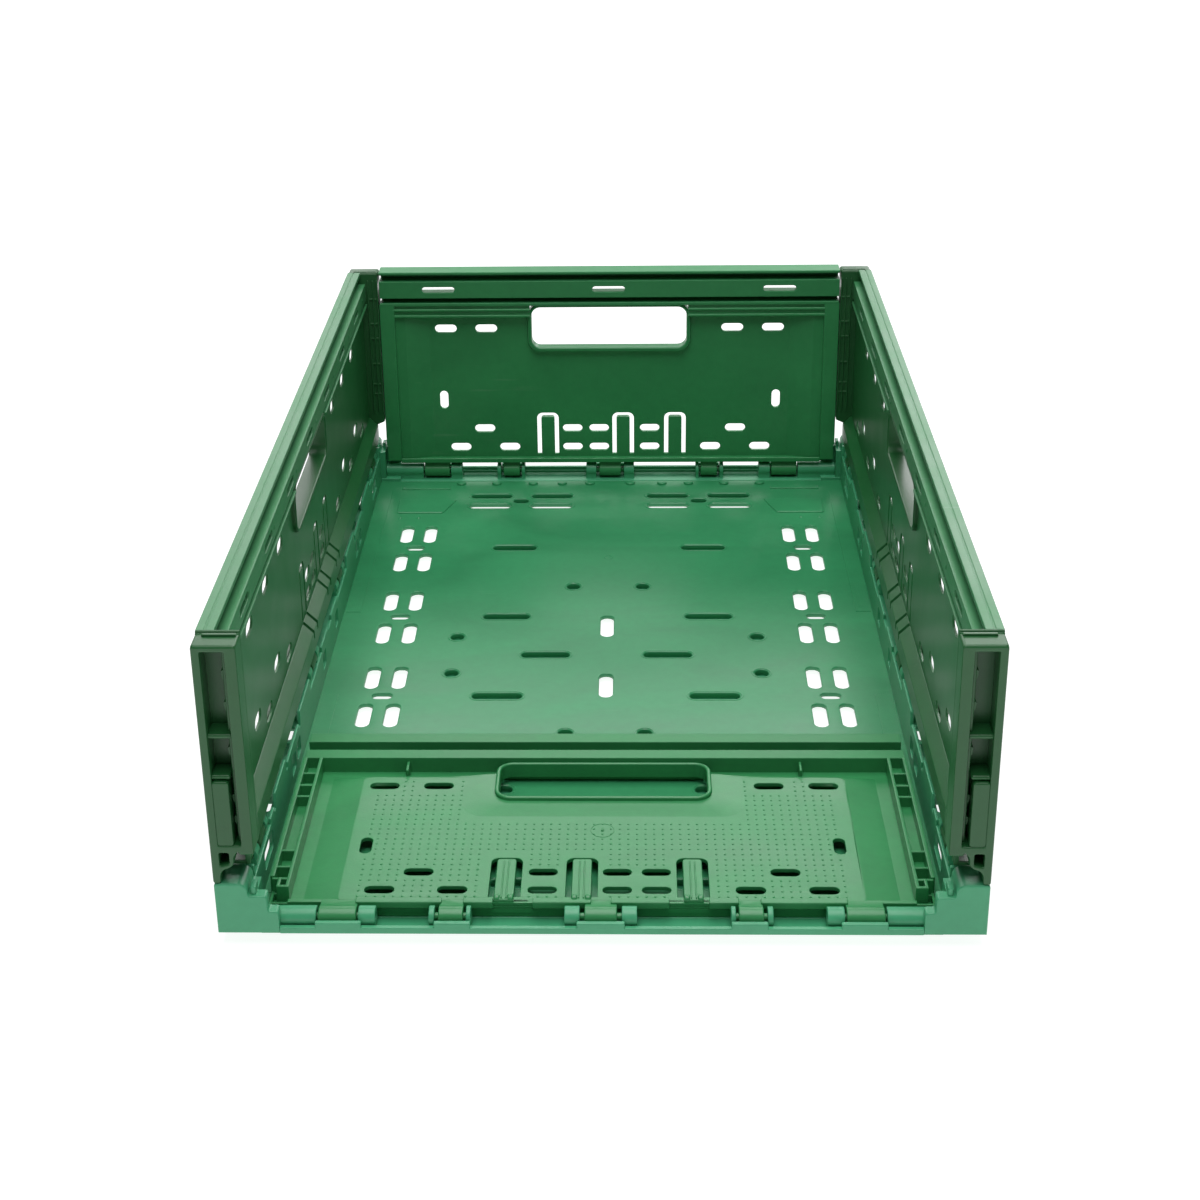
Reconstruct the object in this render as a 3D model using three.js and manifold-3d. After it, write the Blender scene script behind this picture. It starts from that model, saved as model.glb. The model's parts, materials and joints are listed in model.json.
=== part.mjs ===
// Collapsible storage crate, 600 x 400 x 180 mm, in millimetres with +Z up.
//
// Five plastic mouldings: a base, two identical short walls and two identical long walls, hinged
// along the base's edges. Each moulding is shown as its main regions (panel, rim, handle frame,
// posts, hinge strip and so on), one mesh each. The near short wall is folded flat on the floor,
// the other three walls stand.
//
// Crate frame: origin at the middle of the footprint, +X right, +Y to the far short wall, +Z up.
// Wall frame: origin on the wall's hinge axis, X along the wall, Y outward, Z up when it stands.

import * as THREE from 'three';
import { mergeVertices } from 'three/addons/utils/BufferGeometryUtils.js';
import Module from 'manifold-3d';

const wasm = await Module();
wasm.setup();

// ---- driving dimensions ----

const LENGTH = 600;
const WIDTH = 400;
const HEIGHT = 180;

const FLOOR_BOTTOM = 3.5;
const FLOOR_TOP = 6.5;
const EDGE_BOTTOM = 8.5; // the outer edge stands above the stacking foot
const FOOT_INSET = 13;
const FOOT_WIDTH = 8;
const END_RAIL = 18; // how far the end rails and corner blocks reach in from each end
const CORNER_INNER = 167.5; // where corner blocks meet the end rails, from the middle
const SIDE_RAIL_WIDTH = 17.5;
const SIDE_RAIL_TOP = 28.5;
const SIDE_RAIL_TAB_TOP = 37.5;
const SKIN = 2.5; // thickness of ribs and panels

// short walls: hinge axis, and sizes in the wall frame
const SHORT_AXIS_IN = 9;
const SHORT_AXIS_Z = 13;
const SHORT_HALF = 176.5;
const SHORT_OUT = SHORT_AXIS_IN;
const SHORT_IN = -6;
const SHORT_TOP = HEIGHT - SHORT_AXIS_Z;
const SHORT_RIM_BOTTOM = 139.5;
const SHORT_STRIP_BOTTOM = 7.5;
const SHORT_STRIP_OUT = 3.75;
const SHORT_PANEL_BOTTOM = 10.5;
const SHORT_PANEL_HALF = 166;
const SHORT_SIDE_BOTTOM = 20.5;
const SHORT_HANDLE = { half: 60, bottom: 104, top: 137, frame: 2.5, frameTop: SHORT_RIM_BOTTOM };
const SHORT_COLLAR = { inner: -3.25, outer: 6.5 };
const SHORT_BARREL_RADIUS = 5.5;

// long walls: hinge axis, and sizes in the wall frame
const LONG_AXIS_IN = 12;
const LONG_AXIS_Z = 34;
const LONG_HALF = LENGTH / 2;
const LONG_OUT = LONG_AXIS_IN;
const LONG_TOP = HEIGHT - LONG_AXIS_Z;
const LONG_RIM_BOTTOM = 125;
const LONG_STRIP_BOTTOM = 7.5;
const LONG_HANDLE = { half: 62, bottom: 92.5, top: 121, frame: 2.5, frameTop: LONG_RIM_BOTTOM };
const LONG_BARREL_RADIUS = 5;
const POST_DEPTH = 15;
const POST_IN = -10.5; // the posts' inner face, towards the crate's middle
const POST_LEG_BOTTOM = 23; // the inner leg ends here, clear of the corner block

const HANDLE_RADIUS = 7;

// springy tongues and the columns of slots between them, along every wall
const TONGUES = [-49, 10.5, 51.5];
const SLOT_COLUMNS = [-29.5, -8.5, 31.5];
const SHORT_ROWS = { low: 19, high: 35 };
const LONG_ROWS = { low: 34, high: 48 };

// sizes of the slots, end to end
const FLOOR_SLIT = { length: 32, width: 7.5 };
const FLOOR_SLOT = { length: 28, width: 9 };
const FLOOR_MIDDLE_SLOT = { length: 30, width: 9 };
const FLOOR_EYE = { length: 13, width: 7 };
const FLOOR_END_EYE = { length: 12, width: 7 };
const FLOOR_HOLE = { length: 9, width: 8 };
const TONGUE_SLOT = { length: 15.5, width: 6 };
const LOW_SLOT = { length: 16, width: 6.5 };
const SIDE_SLOT = { length: 15, width: 6.5 };
const WALL_SLOT = { length: 17, width: 6.5 };
const RIM_SLOT = { length: 25, width: 4.5 };

const PIN_RADIUS = 2;
const BORE_RADIUS = 2.75;
const SUNK = 0.5; // how deep a knuckle's block reaches into the base that it stands on

// spans along a short wall's hinge on one side of its middle
const SHORT_WALL_BARRELS = [[128, 148], [72, 85]];
const SHORT_MID_BARREL = [-8.5, 8.5];
const SHORT_BASE_KNUCKLES = [[149, 167.5], [118, 127], [87, 90], [68, 70.5], [11, 19]];
const END_LIP_TABS = [[125, 149], [68, 87]];
const END_MID_TAB = [-12.5, 12.5];

// spans along a long wall's hinge on one side of its middle
const LONG_WALL_BARRELS = [[242, 258], [52, 68]];
const LONG_BASE_KNUCKLES = [[260, 268], [234, 240], [70, 78], [42, 50]];
const SIDE_RAIL_TABS = [[84, 126], [176, 214]];
const SIDE_RAIL_HOLES = [[127, 142], [146, 161], [164, 186], [210, 232]];

const COLOURS = {
  floor: 0x4ba06e,
  base: 0x4b9b73,
  panel: 0x5aa873,
  rim: 0x6fae85,
  post: 0x376e41,
  rib: 0x2f7a4a,
};

// ---- shapes ----

function polygon(points) {
  return new THREE.Shape(points.map(([x, y]) => new THREE.Vector2(x, y)));
}

function rectangle(x0, y0, x1, y1) {
  return polygon([[x0, y0], [x1, y0], [x1, y1], [x0, y1]]);
}

// A slot with round ends.
function slot(x, y, { length, width }, upright = false) {
  const half = (length - width) / 2;
  const radius = width / 2;
  const shape = new THREE.Shape();
  if (upright) {
    shape.absarc(x, y + half, radius, 0, Math.PI, false);
    shape.absarc(x, y - half, radius, Math.PI, 2 * Math.PI, false);
  } else {
    shape.absarc(x + half, y, radius, -Math.PI / 2, Math.PI / 2, false);
    shape.absarc(x - half, y, radius, Math.PI / 2, 1.5 * Math.PI, false);
  }
  return shape;
}

// The U-shaped cut that frees a springy tongue, which stays joined at the bottom.
function tongueCut(x, bottom, top) {
  const outer = 8.5;
  const inner = 5.25;
  const centre = top - outer;
  const shape = new THREE.Shape();
  shape.moveTo(x + outer, bottom);
  shape.absarc(x, centre, outer, 0, Math.PI, false);
  shape.lineTo(x - outer, bottom);
  shape.lineTo(x - inner, bottom);
  shape.absarc(x, centre, inner, Math.PI, 0, true);
  shape.lineTo(x + inner, bottom);
  shape.closePath();
  return shape;
}

// A handle's opening: `half` wide on each side of the middle.
function handleOpening({ half, bottom, top }) {
  const radius = HANDLE_RADIUS;
  const shape = new THREE.Shape();
  shape.absarc(half - radius, bottom + radius, radius, -Math.PI / 2, 0, false);
  shape.absarc(half - radius, top - radius, radius, 0, Math.PI / 2, false);
  shape.absarc(radius - half, top - radius, radius, Math.PI / 2, Math.PI, false);
  shape.absarc(radius - half, bottom + radius, radius, Math.PI, 1.5 * Math.PI, false);
  return shape;
}

function circle(radius) {
  return new THREE.Shape().absarc(0, 0, radius, 0, 2 * Math.PI, false);
}

// ---- solids ----

const X_AXIS = new THREE.Vector3(1, 0, 0);
const Y_AXIS = new THREE.Vector3(0, 1, 0);
const Z_AXIS = new THREE.Vector3(0, 0, 1);
const ALONG_X = new THREE.Matrix4().makeBasis(Y_AXIS, Z_AXIS, X_AXIS);
const ALONG_Y = new THREE.Matrix4().makeBasis(X_AXIS, Z_AXIS, Y_AXIS.clone().negate());

const SLOT_STEPS = 1; // slots' round ends are two facets each

function extrude(shape, depth, segments = 2) {
  return new THREE.ExtrudeGeometry(shape, { depth, bevelEnabled: false, curveSegments: segments });
}

// A shape drawn in (Y, Z) and run along X from x0 to x1.
function alongX(shape, x0, x1, segments = 2) {
  return extrude(shape, x1 - x0, segments).applyMatrix4(ALONG_X).translate(x0, 0, 0);
}

// A shape drawn in (X, Z) and run along Y from y0 to y1.
function alongY(shape, y0, y1, segments = 2) {
  return extrude(shape, y1 - y0, segments).applyMatrix4(ALONG_Y).translate(0, y1, 0);
}

// A shape drawn in (X, Y) and run up Z from z0 to z1.
function alongZ(shape, z0, z1, segments = 2) {
  return extrude(shape, z1 - z0, segments).translate(0, 0, z0);
}

function box(x0, y0, z0, x1, y1, z1) {
  return alongZ(rectangle(x0, y0, x1, y1), z0, z1);
}

function toManifold(geometry) {
  const bare = geometry.clone();
  bare.deleteAttribute('normal');
  bare.deleteAttribute('uv');
  const merged = mergeVertices(bare, 1e-4);
  return new wasm.Manifold(new wasm.Mesh({
    numProp: 3,
    vertProperties: new Float32Array(merged.attributes.position.array),
    triVerts: new Uint32Array(merged.index.array),
  }));
}

function fromManifold(body) {
  const mesh = body.getMesh();
  const geometry = new THREE.BufferGeometry();
  geometry.setAttribute('position', new THREE.BufferAttribute(mesh.vertProperties, 3));
  geometry.setIndex(new THREE.BufferAttribute(mesh.triVerts, 1));
  return geometry;
}

function join(geometries) {
  return fromManifold(geometries.map(toManifold).reduce((whole, next) => whole.add(next)));
}

function cut(geometry, cutters) {
  const holes = cutters.map(toManifold).reduce((whole, next) => whole.add(next));
  return fromManifold(toManifold(geometry).subtract(holes));
}

// The same solid on the other side of the plane x = 0.
function mirrorX(geometry) {
  const flipped = (geometry.index ? geometry.toNonIndexed() : geometry.clone()).scale(-1, 1, 1);
  const position = flipped.attributes.position;
  for (let i = 0; i < position.count; i += 3) {
    const [x, y, z] = [position.getX(i), position.getY(i), position.getZ(i)];
    position.setXYZ(i, position.getX(i + 1), position.getY(i + 1), position.getZ(i + 1));
    position.setXYZ(i + 1, x, y, z);
  }
  return flipped;
}

function part(name, geometry, colour) {
  const material = new THREE.MeshStandardMaterial({ color: colour, roughness: 0.45, metalness: 0 });
  const mesh = new THREE.Mesh(geometry, material);
  mesh.name = name;
  return mesh;
}

function bothSides([from, to]) {
  return [[from, to], [-to, -from]];
}

// ---- hinge pieces, in the wall frame ----

// A wall's barrel with a stub pin at each end and an arm up to the wall's hinge strip.
function wallBarrel([from, to], radius, armTop) {
  const pinReach = 3;
  const armHalf = 2.5;
  return [
    alongX(circle(radius), from, to, 6),
    alongX(circle(PIN_RADIUS), from - pinReach, to + pinReach, 3),
    box(from, -armHalf, 0, to, armHalf, armTop),
  ];
}

// A fixed knuckle with a bore for the stub pins, on a block that stands on the base.
function baseKnuckle([from, to], radius, blockHalf, blockBottom) {
  const shape = new THREE.Shape();
  shape.moveTo(-blockHalf, blockBottom);
  shape.lineTo(blockHalf, blockBottom);
  shape.absarc(0, 0, radius, -0.6, Math.PI + 0.6, false);
  shape.closePath();
  shape.holes.push(circle(BORE_RADIUS));
  return alongX(shape, from, to, 3);
}

// ---- base ----

function floorSlots() {
  const slots = [];
  const mirror = (draw) => {
    for (const sx of [-1, 1]) {
      for (const sy of [-1, 1]) {
        slots.push(draw(sx, sy));
      }
    }
  };
  const groupX = 143;
  const groupHalfX = 8.75;
  const groupHalfY = 23.5;
  const slitX = 69.5;
  const endRows = [234.5, 253];
  for (const groupY of [53.5, 161]) {
    for (const dx of [-groupHalfX, groupHalfX]) {
      for (const dy of [-groupHalfY, groupHalfY]) {
        mirror((sx, sy) => slot(sx * (groupX + dx), sy * groupY + dy, FLOOR_SLOT, true));
      }
    }
    mirror((sx, sy) => slot(sx * groupX, sy * groupY, FLOOR_EYE));
    mirror((sx, sy) => slot(sx * slitX, sy * groupY, FLOOR_SLIT));
  }
  for (const y of endRows) {
    for (const x of [45, 92.5]) {
      mirror((sx, sy) => slot(sx * x, sy * y, FLOOR_SLIT));
    }
  }
  mirror((sx, sy) => slot(sx * 69, sy * 244, FLOOR_END_EYE));
  for (const [x, y] of [[24.5, 98.5], [101, 24.5]]) {
    mirror((sx, sy) => slot(sx * x, sy * y, FLOOR_HOLE));
  }
  for (const side of [-1, 1]) {
    slots.push(slot(side * 40.5, 0, FLOOR_SLIT));
    slots.push(slot(0, side * 40, FLOOR_MIDDLE_SLOT, true));
  }
  return slots;
}

function floor() {
  const halfX = WIDTH / 2 - SIDE_RAIL_WIDTH;
  const halfY = LENGTH / 2 - END_RAIL;
  const shape = rectangle(-halfX, -halfY, halfX, halfY);
  shape.holes.push(...floorSlots());
  return alongZ(shape, FLOOR_BOTTOM, FLOOR_TOP, SLOT_STEPS);
}

// Trough, outer lip and fixed knuckles of the far end; the near end is the same turned about Z.
function endRail() {
  const inner = LENGTH / 2 - END_RAIL;
  const outer = LENGTH / 2;
  const lipInner = outer - 2.75;
  const lipTop = 12;
  const tabTop = 15;
  const slopeFoot = outer - 7; // the trough's bottom slopes up from here to the outer edge
  const slopeHead = outer - 6;
  const profile = polygon([
    [inner, FLOOR_BOTTOM], [slopeFoot, FLOOR_BOTTOM], [outer, EDGE_BOTTOM], [outer, lipTop],
    [lipInner, lipTop], [lipInner, EDGE_BOTTOM], [slopeHead, FLOOR_TOP], [inner, FLOOR_TOP],
  ]);
  const pieces = [alongX(profile, -CORNER_INNER, CORNER_INNER)];
  for (const [from, to] of [...END_LIP_TABS.flatMap(bothSides), END_MID_TAB]) {
    pieces.push(box(from, lipInner, EDGE_BOTTOM, to, outer, tabTop));
  }
  const blockHalf = 5;
  const blockBottom = FLOOR_TOP - SHORT_AXIS_Z - SUNK;
  for (const span of SHORT_BASE_KNUCKLES.flatMap(bothSides)) {
    const knuckle = baseKnuckle(span, SHORT_BARREL_RADIUS, blockHalf, blockBottom);
    pieces.push(knuckle.translate(0, outer - SHORT_AXIS_IN, SHORT_AXIS_Z));
  }
  return join(pieces);
}

// The far right corner block. Its top curves down round the long wall's hinge axis, so that the
// wall's post can swing over it, then steps down to the end rail.
function cornerBlock() {
  const axisX = WIDTH / 2 - LONG_AXIS_IN;
  const swing = 5.25;
  const stepX = 173;
  const stepTop = 31.5;
  const sillTop = 22;
  const shape = new THREE.Shape();
  shape.moveTo(CORNER_INNER, EDGE_BOTTOM);
  shape.lineTo(WIDTH / 2, EDGE_BOTTOM);
  shape.lineTo(WIDTH / 2, LONG_AXIS_Z + swing);
  shape.absarc(axisX, LONG_AXIS_Z, swing, Math.PI / 2, Math.PI, false);
  shape.lineTo(axisX - swing, stepTop);
  shape.lineTo(stepX, stepTop);
  shape.lineTo(stepX, sillTop);
  shape.lineTo(CORNER_INNER, sillTop);
  shape.closePath();
  const outer = LENGTH / 2;
  return alongY(shape, outer - END_RAIL, outer, 5);
}

// Channel along the right side of the base, open downward, with the long wall's knuckles on top
// and raised tabs on its inner edge.
function sideRail() {
  const inner = WIDTH / 2 - SIDE_RAIL_WIDTH;
  const outer = WIDTH / 2;
  const half = LENGTH / 2 - END_RAIL;
  const profile = polygon([
    [inner, FLOOR_BOTTOM], [inner + SKIN, FLOOR_BOTTOM], [inner + SKIN, SIDE_RAIL_TOP - SKIN],
    [outer - SKIN, SIDE_RAIL_TOP - SKIN], [outer - SKIN, EDGE_BOTTOM], [outer, EDGE_BOTTOM],
    [outer, SIDE_RAIL_TOP], [inner, SIDE_RAIL_TOP],
  ]);
  const pieces = [alongY(profile, -half, half)];
  for (const [from, to] of SIDE_RAIL_TABS.flatMap(bothSides)) {
    pieces.push(box(inner, from, SIDE_RAIL_TOP - 1, inner + 2, to, SIDE_RAIL_TAB_TOP));
  }
  const blockHalf = 4.5;
  const blockBottom = SIDE_RAIL_TOP - LONG_AXIS_Z - SUNK;
  for (const span of LONG_BASE_KNUCKLES.flatMap(bothSides)) {
    const knuckle = baseKnuckle(span, LONG_BARREL_RADIUS, blockHalf, blockBottom);
    knuckle.rotateZ(-Math.PI / 2);
    pieces.push(knuckle.translate(outer - LONG_AXIS_IN, 0, LONG_AXIS_Z));
  }
  const holeFrom = inner + 3.5;
  const holeTo = inner + 9.5;
  const below = SIDE_RAIL_TOP - SKIN - 1;
  const above = SIDE_RAIL_TOP + 1;
  const holes = SIDE_RAIL_HOLES.flatMap(bothSides).map(
    ([from, to]) => box(holeFrom, from, below, holeTo, to, above),
  );
  return cut(join(pieces), holes);
}

// ---- short wall ----

// Plan section of the panel: a raised middle between two margins, with slanted steps.
const MARGIN = { inner: -3.25, outer: -0.75 };
const PLATEAU = { inner: 0.5, outer: 3 };
const STEP = { low: 145, high: 137 };

function shortPanel() {
  const edge = SHORT_PANEL_HALF;
  const section = polygon([
    [-edge, MARGIN.inner], [-STEP.low, MARGIN.inner], [-STEP.high, PLATEAU.inner],
    [STEP.high, PLATEAU.inner], [STEP.low, MARGIN.inner], [edge, MARGIN.inner],
    [edge, MARGIN.outer], [STEP.low + 1, MARGIN.outer], [STEP.high + 1, PLATEAU.outer],
    [-STEP.high - 1, PLATEAU.outer], [-STEP.low - 1, MARGIN.outer], [-edge, MARGIN.outer],
  ]);
  const body = alongZ(section, SHORT_PANEL_BOTTOM, SHORT_HANDLE.bottom - SHORT_HANDLE.frame);
  const shapes = TONGUES.map((x) => tongueCut(x, 13, 48));
  for (const x of SLOT_COLUMNS) {
    shapes.push(slot(x, SHORT_ROWS.high, TONGUE_SLOT), slot(x, SHORT_ROWS.low, TONGUE_SLOT));
  }
  for (const side of [-1, 1]) {
    shapes.push(slot(side * 99, SHORT_ROWS.high, LOW_SLOT));
    shapes.push(slot(side * 79.5, SHORT_ROWS.low, LOW_SLOT));
    shapes.push(slot(side * 118.5, SHORT_ROWS.low, LOW_SLOT));
    shapes.push(slot(side * 130.5, 59.5, SIDE_SLOT, true));
  }
  return cut(body, shapes.map((shape) => alongY(shape, SHORT_IN - 1, SHORT_OUT + 1, SLOT_STEPS)));
}

// The panel's continuation to the right of the handle, up to the rim, with a ridge along the
// rim on the inside.
function shortShoulder() {
  const from = SHORT_HANDLE.half + SHORT_HANDLE.frame;
  const edge = SHORT_PANEL_HALF;
  const top = SHORT_RIM_BOTTOM;
  const ridgeBottom = top - 9.5;
  const section = polygon([
    [from, PLATEAU.inner], [STEP.high, PLATEAU.inner], [STEP.low, MARGIN.inner],
    [edge, MARGIN.inner], [edge, MARGIN.outer], [STEP.low + 1, MARGIN.outer],
    [STEP.high + 1, PLATEAU.outer], [from, PLATEAU.outer],
  ]);
  const body = join([
    alongZ(section, SHORT_HANDLE.bottom - SHORT_HANDLE.frame, top),
    box(from, SHORT_IN, ridgeBottom, edge, PLATEAU.inner + 1, top),
  ]);
  const shapes = [95.5, 127].map((x) => slot(x, 119, WALL_SLOT));
  return cut(body, shapes.map((shape) => alongY(shape, SHORT_IN - 1, SHORT_OUT + 1, SLOT_STEPS)));
}

// A collar round a handle's opening, between two depths.
function handleFrame(handle, { inner, outer }) {
  const half = handle.half + handle.frame;
  const shape = rectangle(-half, handle.bottom - handle.frame, half, handle.frameTop);
  shape.holes.push(handleOpening(handle));
  return alongY(shape, inner, outer, 3);
}

// Zigzag sheet along the top: flange, upper bar, web, slotted band, web, lower bar, web. The bars
// are on the outside and the band between them is on the inside.
function shortRim() {
  const bottom = SHORT_RIM_BOTTOM;
  const barIn = SHORT_OUT - SKIN;
  const bandOut = SHORT_IN + SKIN;
  const band = { low: 146, high: 159.5 };
  const inside = { low: band.low + SKIN, high: band.high - SKIN };
  const section = polygon([
    [SHORT_OUT, SHORT_TOP], [SHORT_IN, SHORT_TOP], [SHORT_IN, SHORT_TOP - SKIN],
    [barIn, SHORT_TOP - SKIN], [barIn, band.high], [SHORT_IN, band.high], [SHORT_IN, band.low],
    [barIn, band.low], [barIn, bottom + SKIN], [SHORT_IN, bottom + SKIN], [SHORT_IN, bottom],
    [SHORT_OUT, bottom], [SHORT_OUT, inside.low], [bandOut, inside.low],
    [bandOut, inside.high], [SHORT_OUT, inside.high],
  ]);
  const body = alongX(section, -SHORT_HALF, SHORT_HALF);
  const shapes = [-131, 0, 131].map((x) => slot(x, (band.low + band.high) / 2, RIM_SLOT));
  return cut(body, shapes.map((shape) => alongY(shape, SHORT_IN - 1, bandOut + 1, SLOT_STEPS)));
}

// Ladder of ribs up the right edge, open outward.
function shortSide() {
  const inner = SHORT_PANEL_HALF;
  const outer = SHORT_HALF;
  const bottom = SHORT_SIDE_BOTTOM;
  const top = SHORT_RIM_BOTTOM;
  const back = SHORT_IN + SKIN;
  const toe = 13; // the inner half reaches further down, clear of the corner block in its swing
  const toeOuter = inner + 6.5;
  const rib = 2;
  const pieces = [
    box(inner, SHORT_IN, toe, toeOuter, SHORT_OUT, bottom + rib),
    box(inner, SHORT_IN, bottom, outer, back, top),
    box(inner, SHORT_IN, bottom, inner + rib, SHORT_OUT, top),
    box(outer - rib, SHORT_IN, bottom, outer, SHORT_OUT, top),
  ];
  const rungs = 6;
  for (let i = 0; i < rungs; i += 1) {
    const z = bottom + (i * (top - bottom - rib)) / (rungs - 1);
    pieces.push(box(inner, SHORT_IN, z, outer, SHORT_OUT, z + rib));
  }
  return join(pieces);
}

// Rib along the bottom with the barrels that turn on the base.
function shortHingeStrip() {
  const pieces = [box(
    -SHORT_PANEL_HALF, SHORT_IN, SHORT_STRIP_BOTTOM,
    SHORT_PANEL_HALF, SHORT_STRIP_OUT, SHORT_PANEL_BOTTOM,
  )];
  for (const span of [...SHORT_WALL_BARRELS.flatMap(bothSides), SHORT_MID_BARREL]) {
    pieces.push(...wallBarrel(span, SHORT_BARREL_RADIUS, SHORT_PANEL_BOTTOM));
  }
  return join(pieces);
}

function shortWall(name) {
  const wall = new THREE.Group();
  wall.add(
    part(`${name}_panel`, shortPanel(), COLOURS.panel),
    part(`${name}_shoulder_right`, shortShoulder(), COLOURS.panel),
    part(`${name}_shoulder_left`, mirrorX(shortShoulder()), COLOURS.panel),
    part(`${name}_handle_frame`, handleFrame(SHORT_HANDLE, SHORT_COLLAR), COLOURS.panel),
    part(`${name}_rim`, shortRim(), COLOURS.rim),
    part(`${name}_side_right`, shortSide(), COLOURS.panel),
    part(`${name}_side_left`, mirrorX(shortSide()), COLOURS.panel),
    part(`${name}_hinge_strip`, shortHingeStrip(), COLOURS.panel),
  );
  return wall;
}

// ---- long wall ----

const LONG_PANEL = { inner: 1.5, outer: 4 };
const LONG_BAND_IN = -1; // inner face of the rim's slotted band
const LONG_COLLAR = { inner: LONG_BAND_IN, outer: LONG_OUT };
const LEDGE = { inner: -5, low: 20, high: 26.5 }; // the lower wall steps inward below this slope

function longPanel() {
  const half = LONG_HALF - POST_DEPTH;
  const top = LONG_HANDLE.bottom - LONG_HANDLE.frame;
  const bottom = LONG_STRIP_BOTTOM;
  const section = polygon([
    [LEDGE.inner, bottom], [LEDGE.inner, LEDGE.low], [LONG_PANEL.inner, LEDGE.high],
    [LONG_PANEL.inner, top], [LONG_PANEL.outer, top], [LONG_PANEL.outer, LEDGE.high - 1],
    [LEDGE.inner + SKIN, LEDGE.low - 1], [LEDGE.inner + SKIN, bottom],
  ]);
  const shapes = TONGUES.map((x) => tongueCut(x, 23, 64));
  for (const x of SLOT_COLUMNS) {
    shapes.push(slot(x, LONG_ROWS.high, TONGUE_SLOT), slot(x, LONG_ROWS.low, TONGUE_SLOT));
  }
  for (const x of [144, 208].flatMap((place) => [-place, place])) {
    shapes.push(slot(x, LONG_ROWS.high, WALL_SLOT));
  }
  for (const x of [107, 176, 240].flatMap((place) => [-place, place])) {
    shapes.push(slot(x, LONG_ROWS.low, WALL_SLOT));
  }
  const cutters = shapes.map((shape) => alongY(shape, POST_IN, LONG_OUT + 1, SLOT_STEPS));
  return cut(alongX(section, -half, half), cutters);
}

function longShoulder() {
  const from = LONG_HANDLE.half + LONG_HANDLE.frame;
  const bottom = LONG_HANDLE.bottom - LONG_HANDLE.frame;
  const { inner, outer } = LONG_PANEL;
  const body = box(from, inner, bottom, LONG_HALF - POST_DEPTH, outer, LONG_RIM_BOTTOM);
  const shapes = [110, 160, 210].map((x) => slot(x, 107, WALL_SLOT));
  return cut(body, shapes.map((shape) => alongY(shape, inner - 1, outer + 1, SLOT_STEPS)));
}

function longRim() {
  const bottom = LONG_RIM_BOTTOM;
  const top = LONG_TOP;
  const half = LONG_HALF - POST_DEPTH;
  const flangeIn = 2.5;
  const flangeBottom = top - 3;
  const barIn = LONG_OUT - SKIN;
  const bandTop = 137;
  const section = polygon([
    [LONG_OUT, bottom], [LONG_OUT, top], [flangeIn, top], [flangeIn, flangeBottom],
    [barIn, flangeBottom], [barIn, bandTop], [LONG_BAND_IN, bandTop], [LONG_BAND_IN, bottom],
    [flangeIn, bottom], [flangeIn, bandTop - SKIN], [barIn, bandTop - SKIN], [barIn, bottom],
  ]);
  const shapes = [-228, -152, -76, 0, 76, 152, 228].map((x) => slot(x, 130, RIM_SLOT));
  const holes = shapes.map((shape) => alongY(shape, LONG_BAND_IN - 1, flangeIn + 1, SLOT_STEPS));
  return cut(alongX(section, -half, half), holes);
}

// The post at the right end: a channel open to the crate's end, with a cap and ribs.
function longPost() {
  const end = LONG_HALF;
  const back = end - POST_DEPTH;
  const bottom = 5.5;
  const capBottom = LONG_TOP - 4;
  const plate = 2.5;
  const webOut = back + plate;
  const legFace = end - plate;
  const legIn = POST_IN + plate;
  const legOut = -2.5; // how far out the inner leg's front flange reaches
  const outerLeg = 8; // inner face of the outer leg
  const footIn = 0.5; // the foot is narrower, clear of the corner block
  const upper = polygon([
    [back, POST_IN], [end, POST_IN], [end, legOut], [legFace, legOut], [legFace, legIn],
    [webOut, legIn], [webOut, outerLeg], [end, outerLeg], [end, LONG_OUT], [back, LONG_OUT],
  ]);
  const lower = polygon([
    [back, footIn], [webOut, footIn], [webOut, outerLeg], [end, outerLeg], [end, LONG_OUT],
    [back, LONG_OUT],
  ]);
  const crossRib = { low: 91, high: 93.5 };
  const pad = { inner: -1.5, low: 27, high: 67, top: 69 }; // raised plate in the lower half
  const heel = { inner: 1, top: 14 };
  const rib = (y0, z0, y1, z1, front) => box(back + 1, y0, z0, front, y1, z1);
  return join([
    alongZ(upper, POST_LEG_BOTTOM, capBottom + 1),
    alongZ(lower, bottom, POST_LEG_BOTTOM + 1),
    box(back, POST_IN, capBottom, end, LONG_OUT, LONG_TOP),
    rib(POST_IN + 1, crossRib.low, outerLeg + 1, crossRib.high, end - 1),
    rib(pad.inner, pad.high - 0.5, outerLeg + 1, pad.top, end - 1),
    rib(pad.inner, pad.low, outerLeg + 0.5, pad.high, end - 0.5),
    rib(heel.inner, bottom, outerLeg + 1, heel.top, end - 3),
  ]);
}

function longHingeStrip() {
  const half = LONG_HALF - POST_DEPTH;
  const bottom = LONG_STRIP_BOTTOM;
  const skirtTop = bottom + 4.5;
  const skirtIn = LONG_OUT - SKIN;
  const inner = LEDGE.inner + SKIN;
  const section = polygon([
    [inner, bottom], [LONG_OUT, bottom], [LONG_OUT, skirtTop], [skirtIn, skirtTop],
    [skirtIn, bottom + SKIN], [inner, bottom + SKIN],
  ]);
  const pieces = [alongX(section, -half, half)];
  for (const span of LONG_WALL_BARRELS.flatMap(bothSides)) {
    pieces.push(...wallBarrel(span, LONG_BARREL_RADIUS, bottom + SKIN));
  }
  return join(pieces);
}

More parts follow.
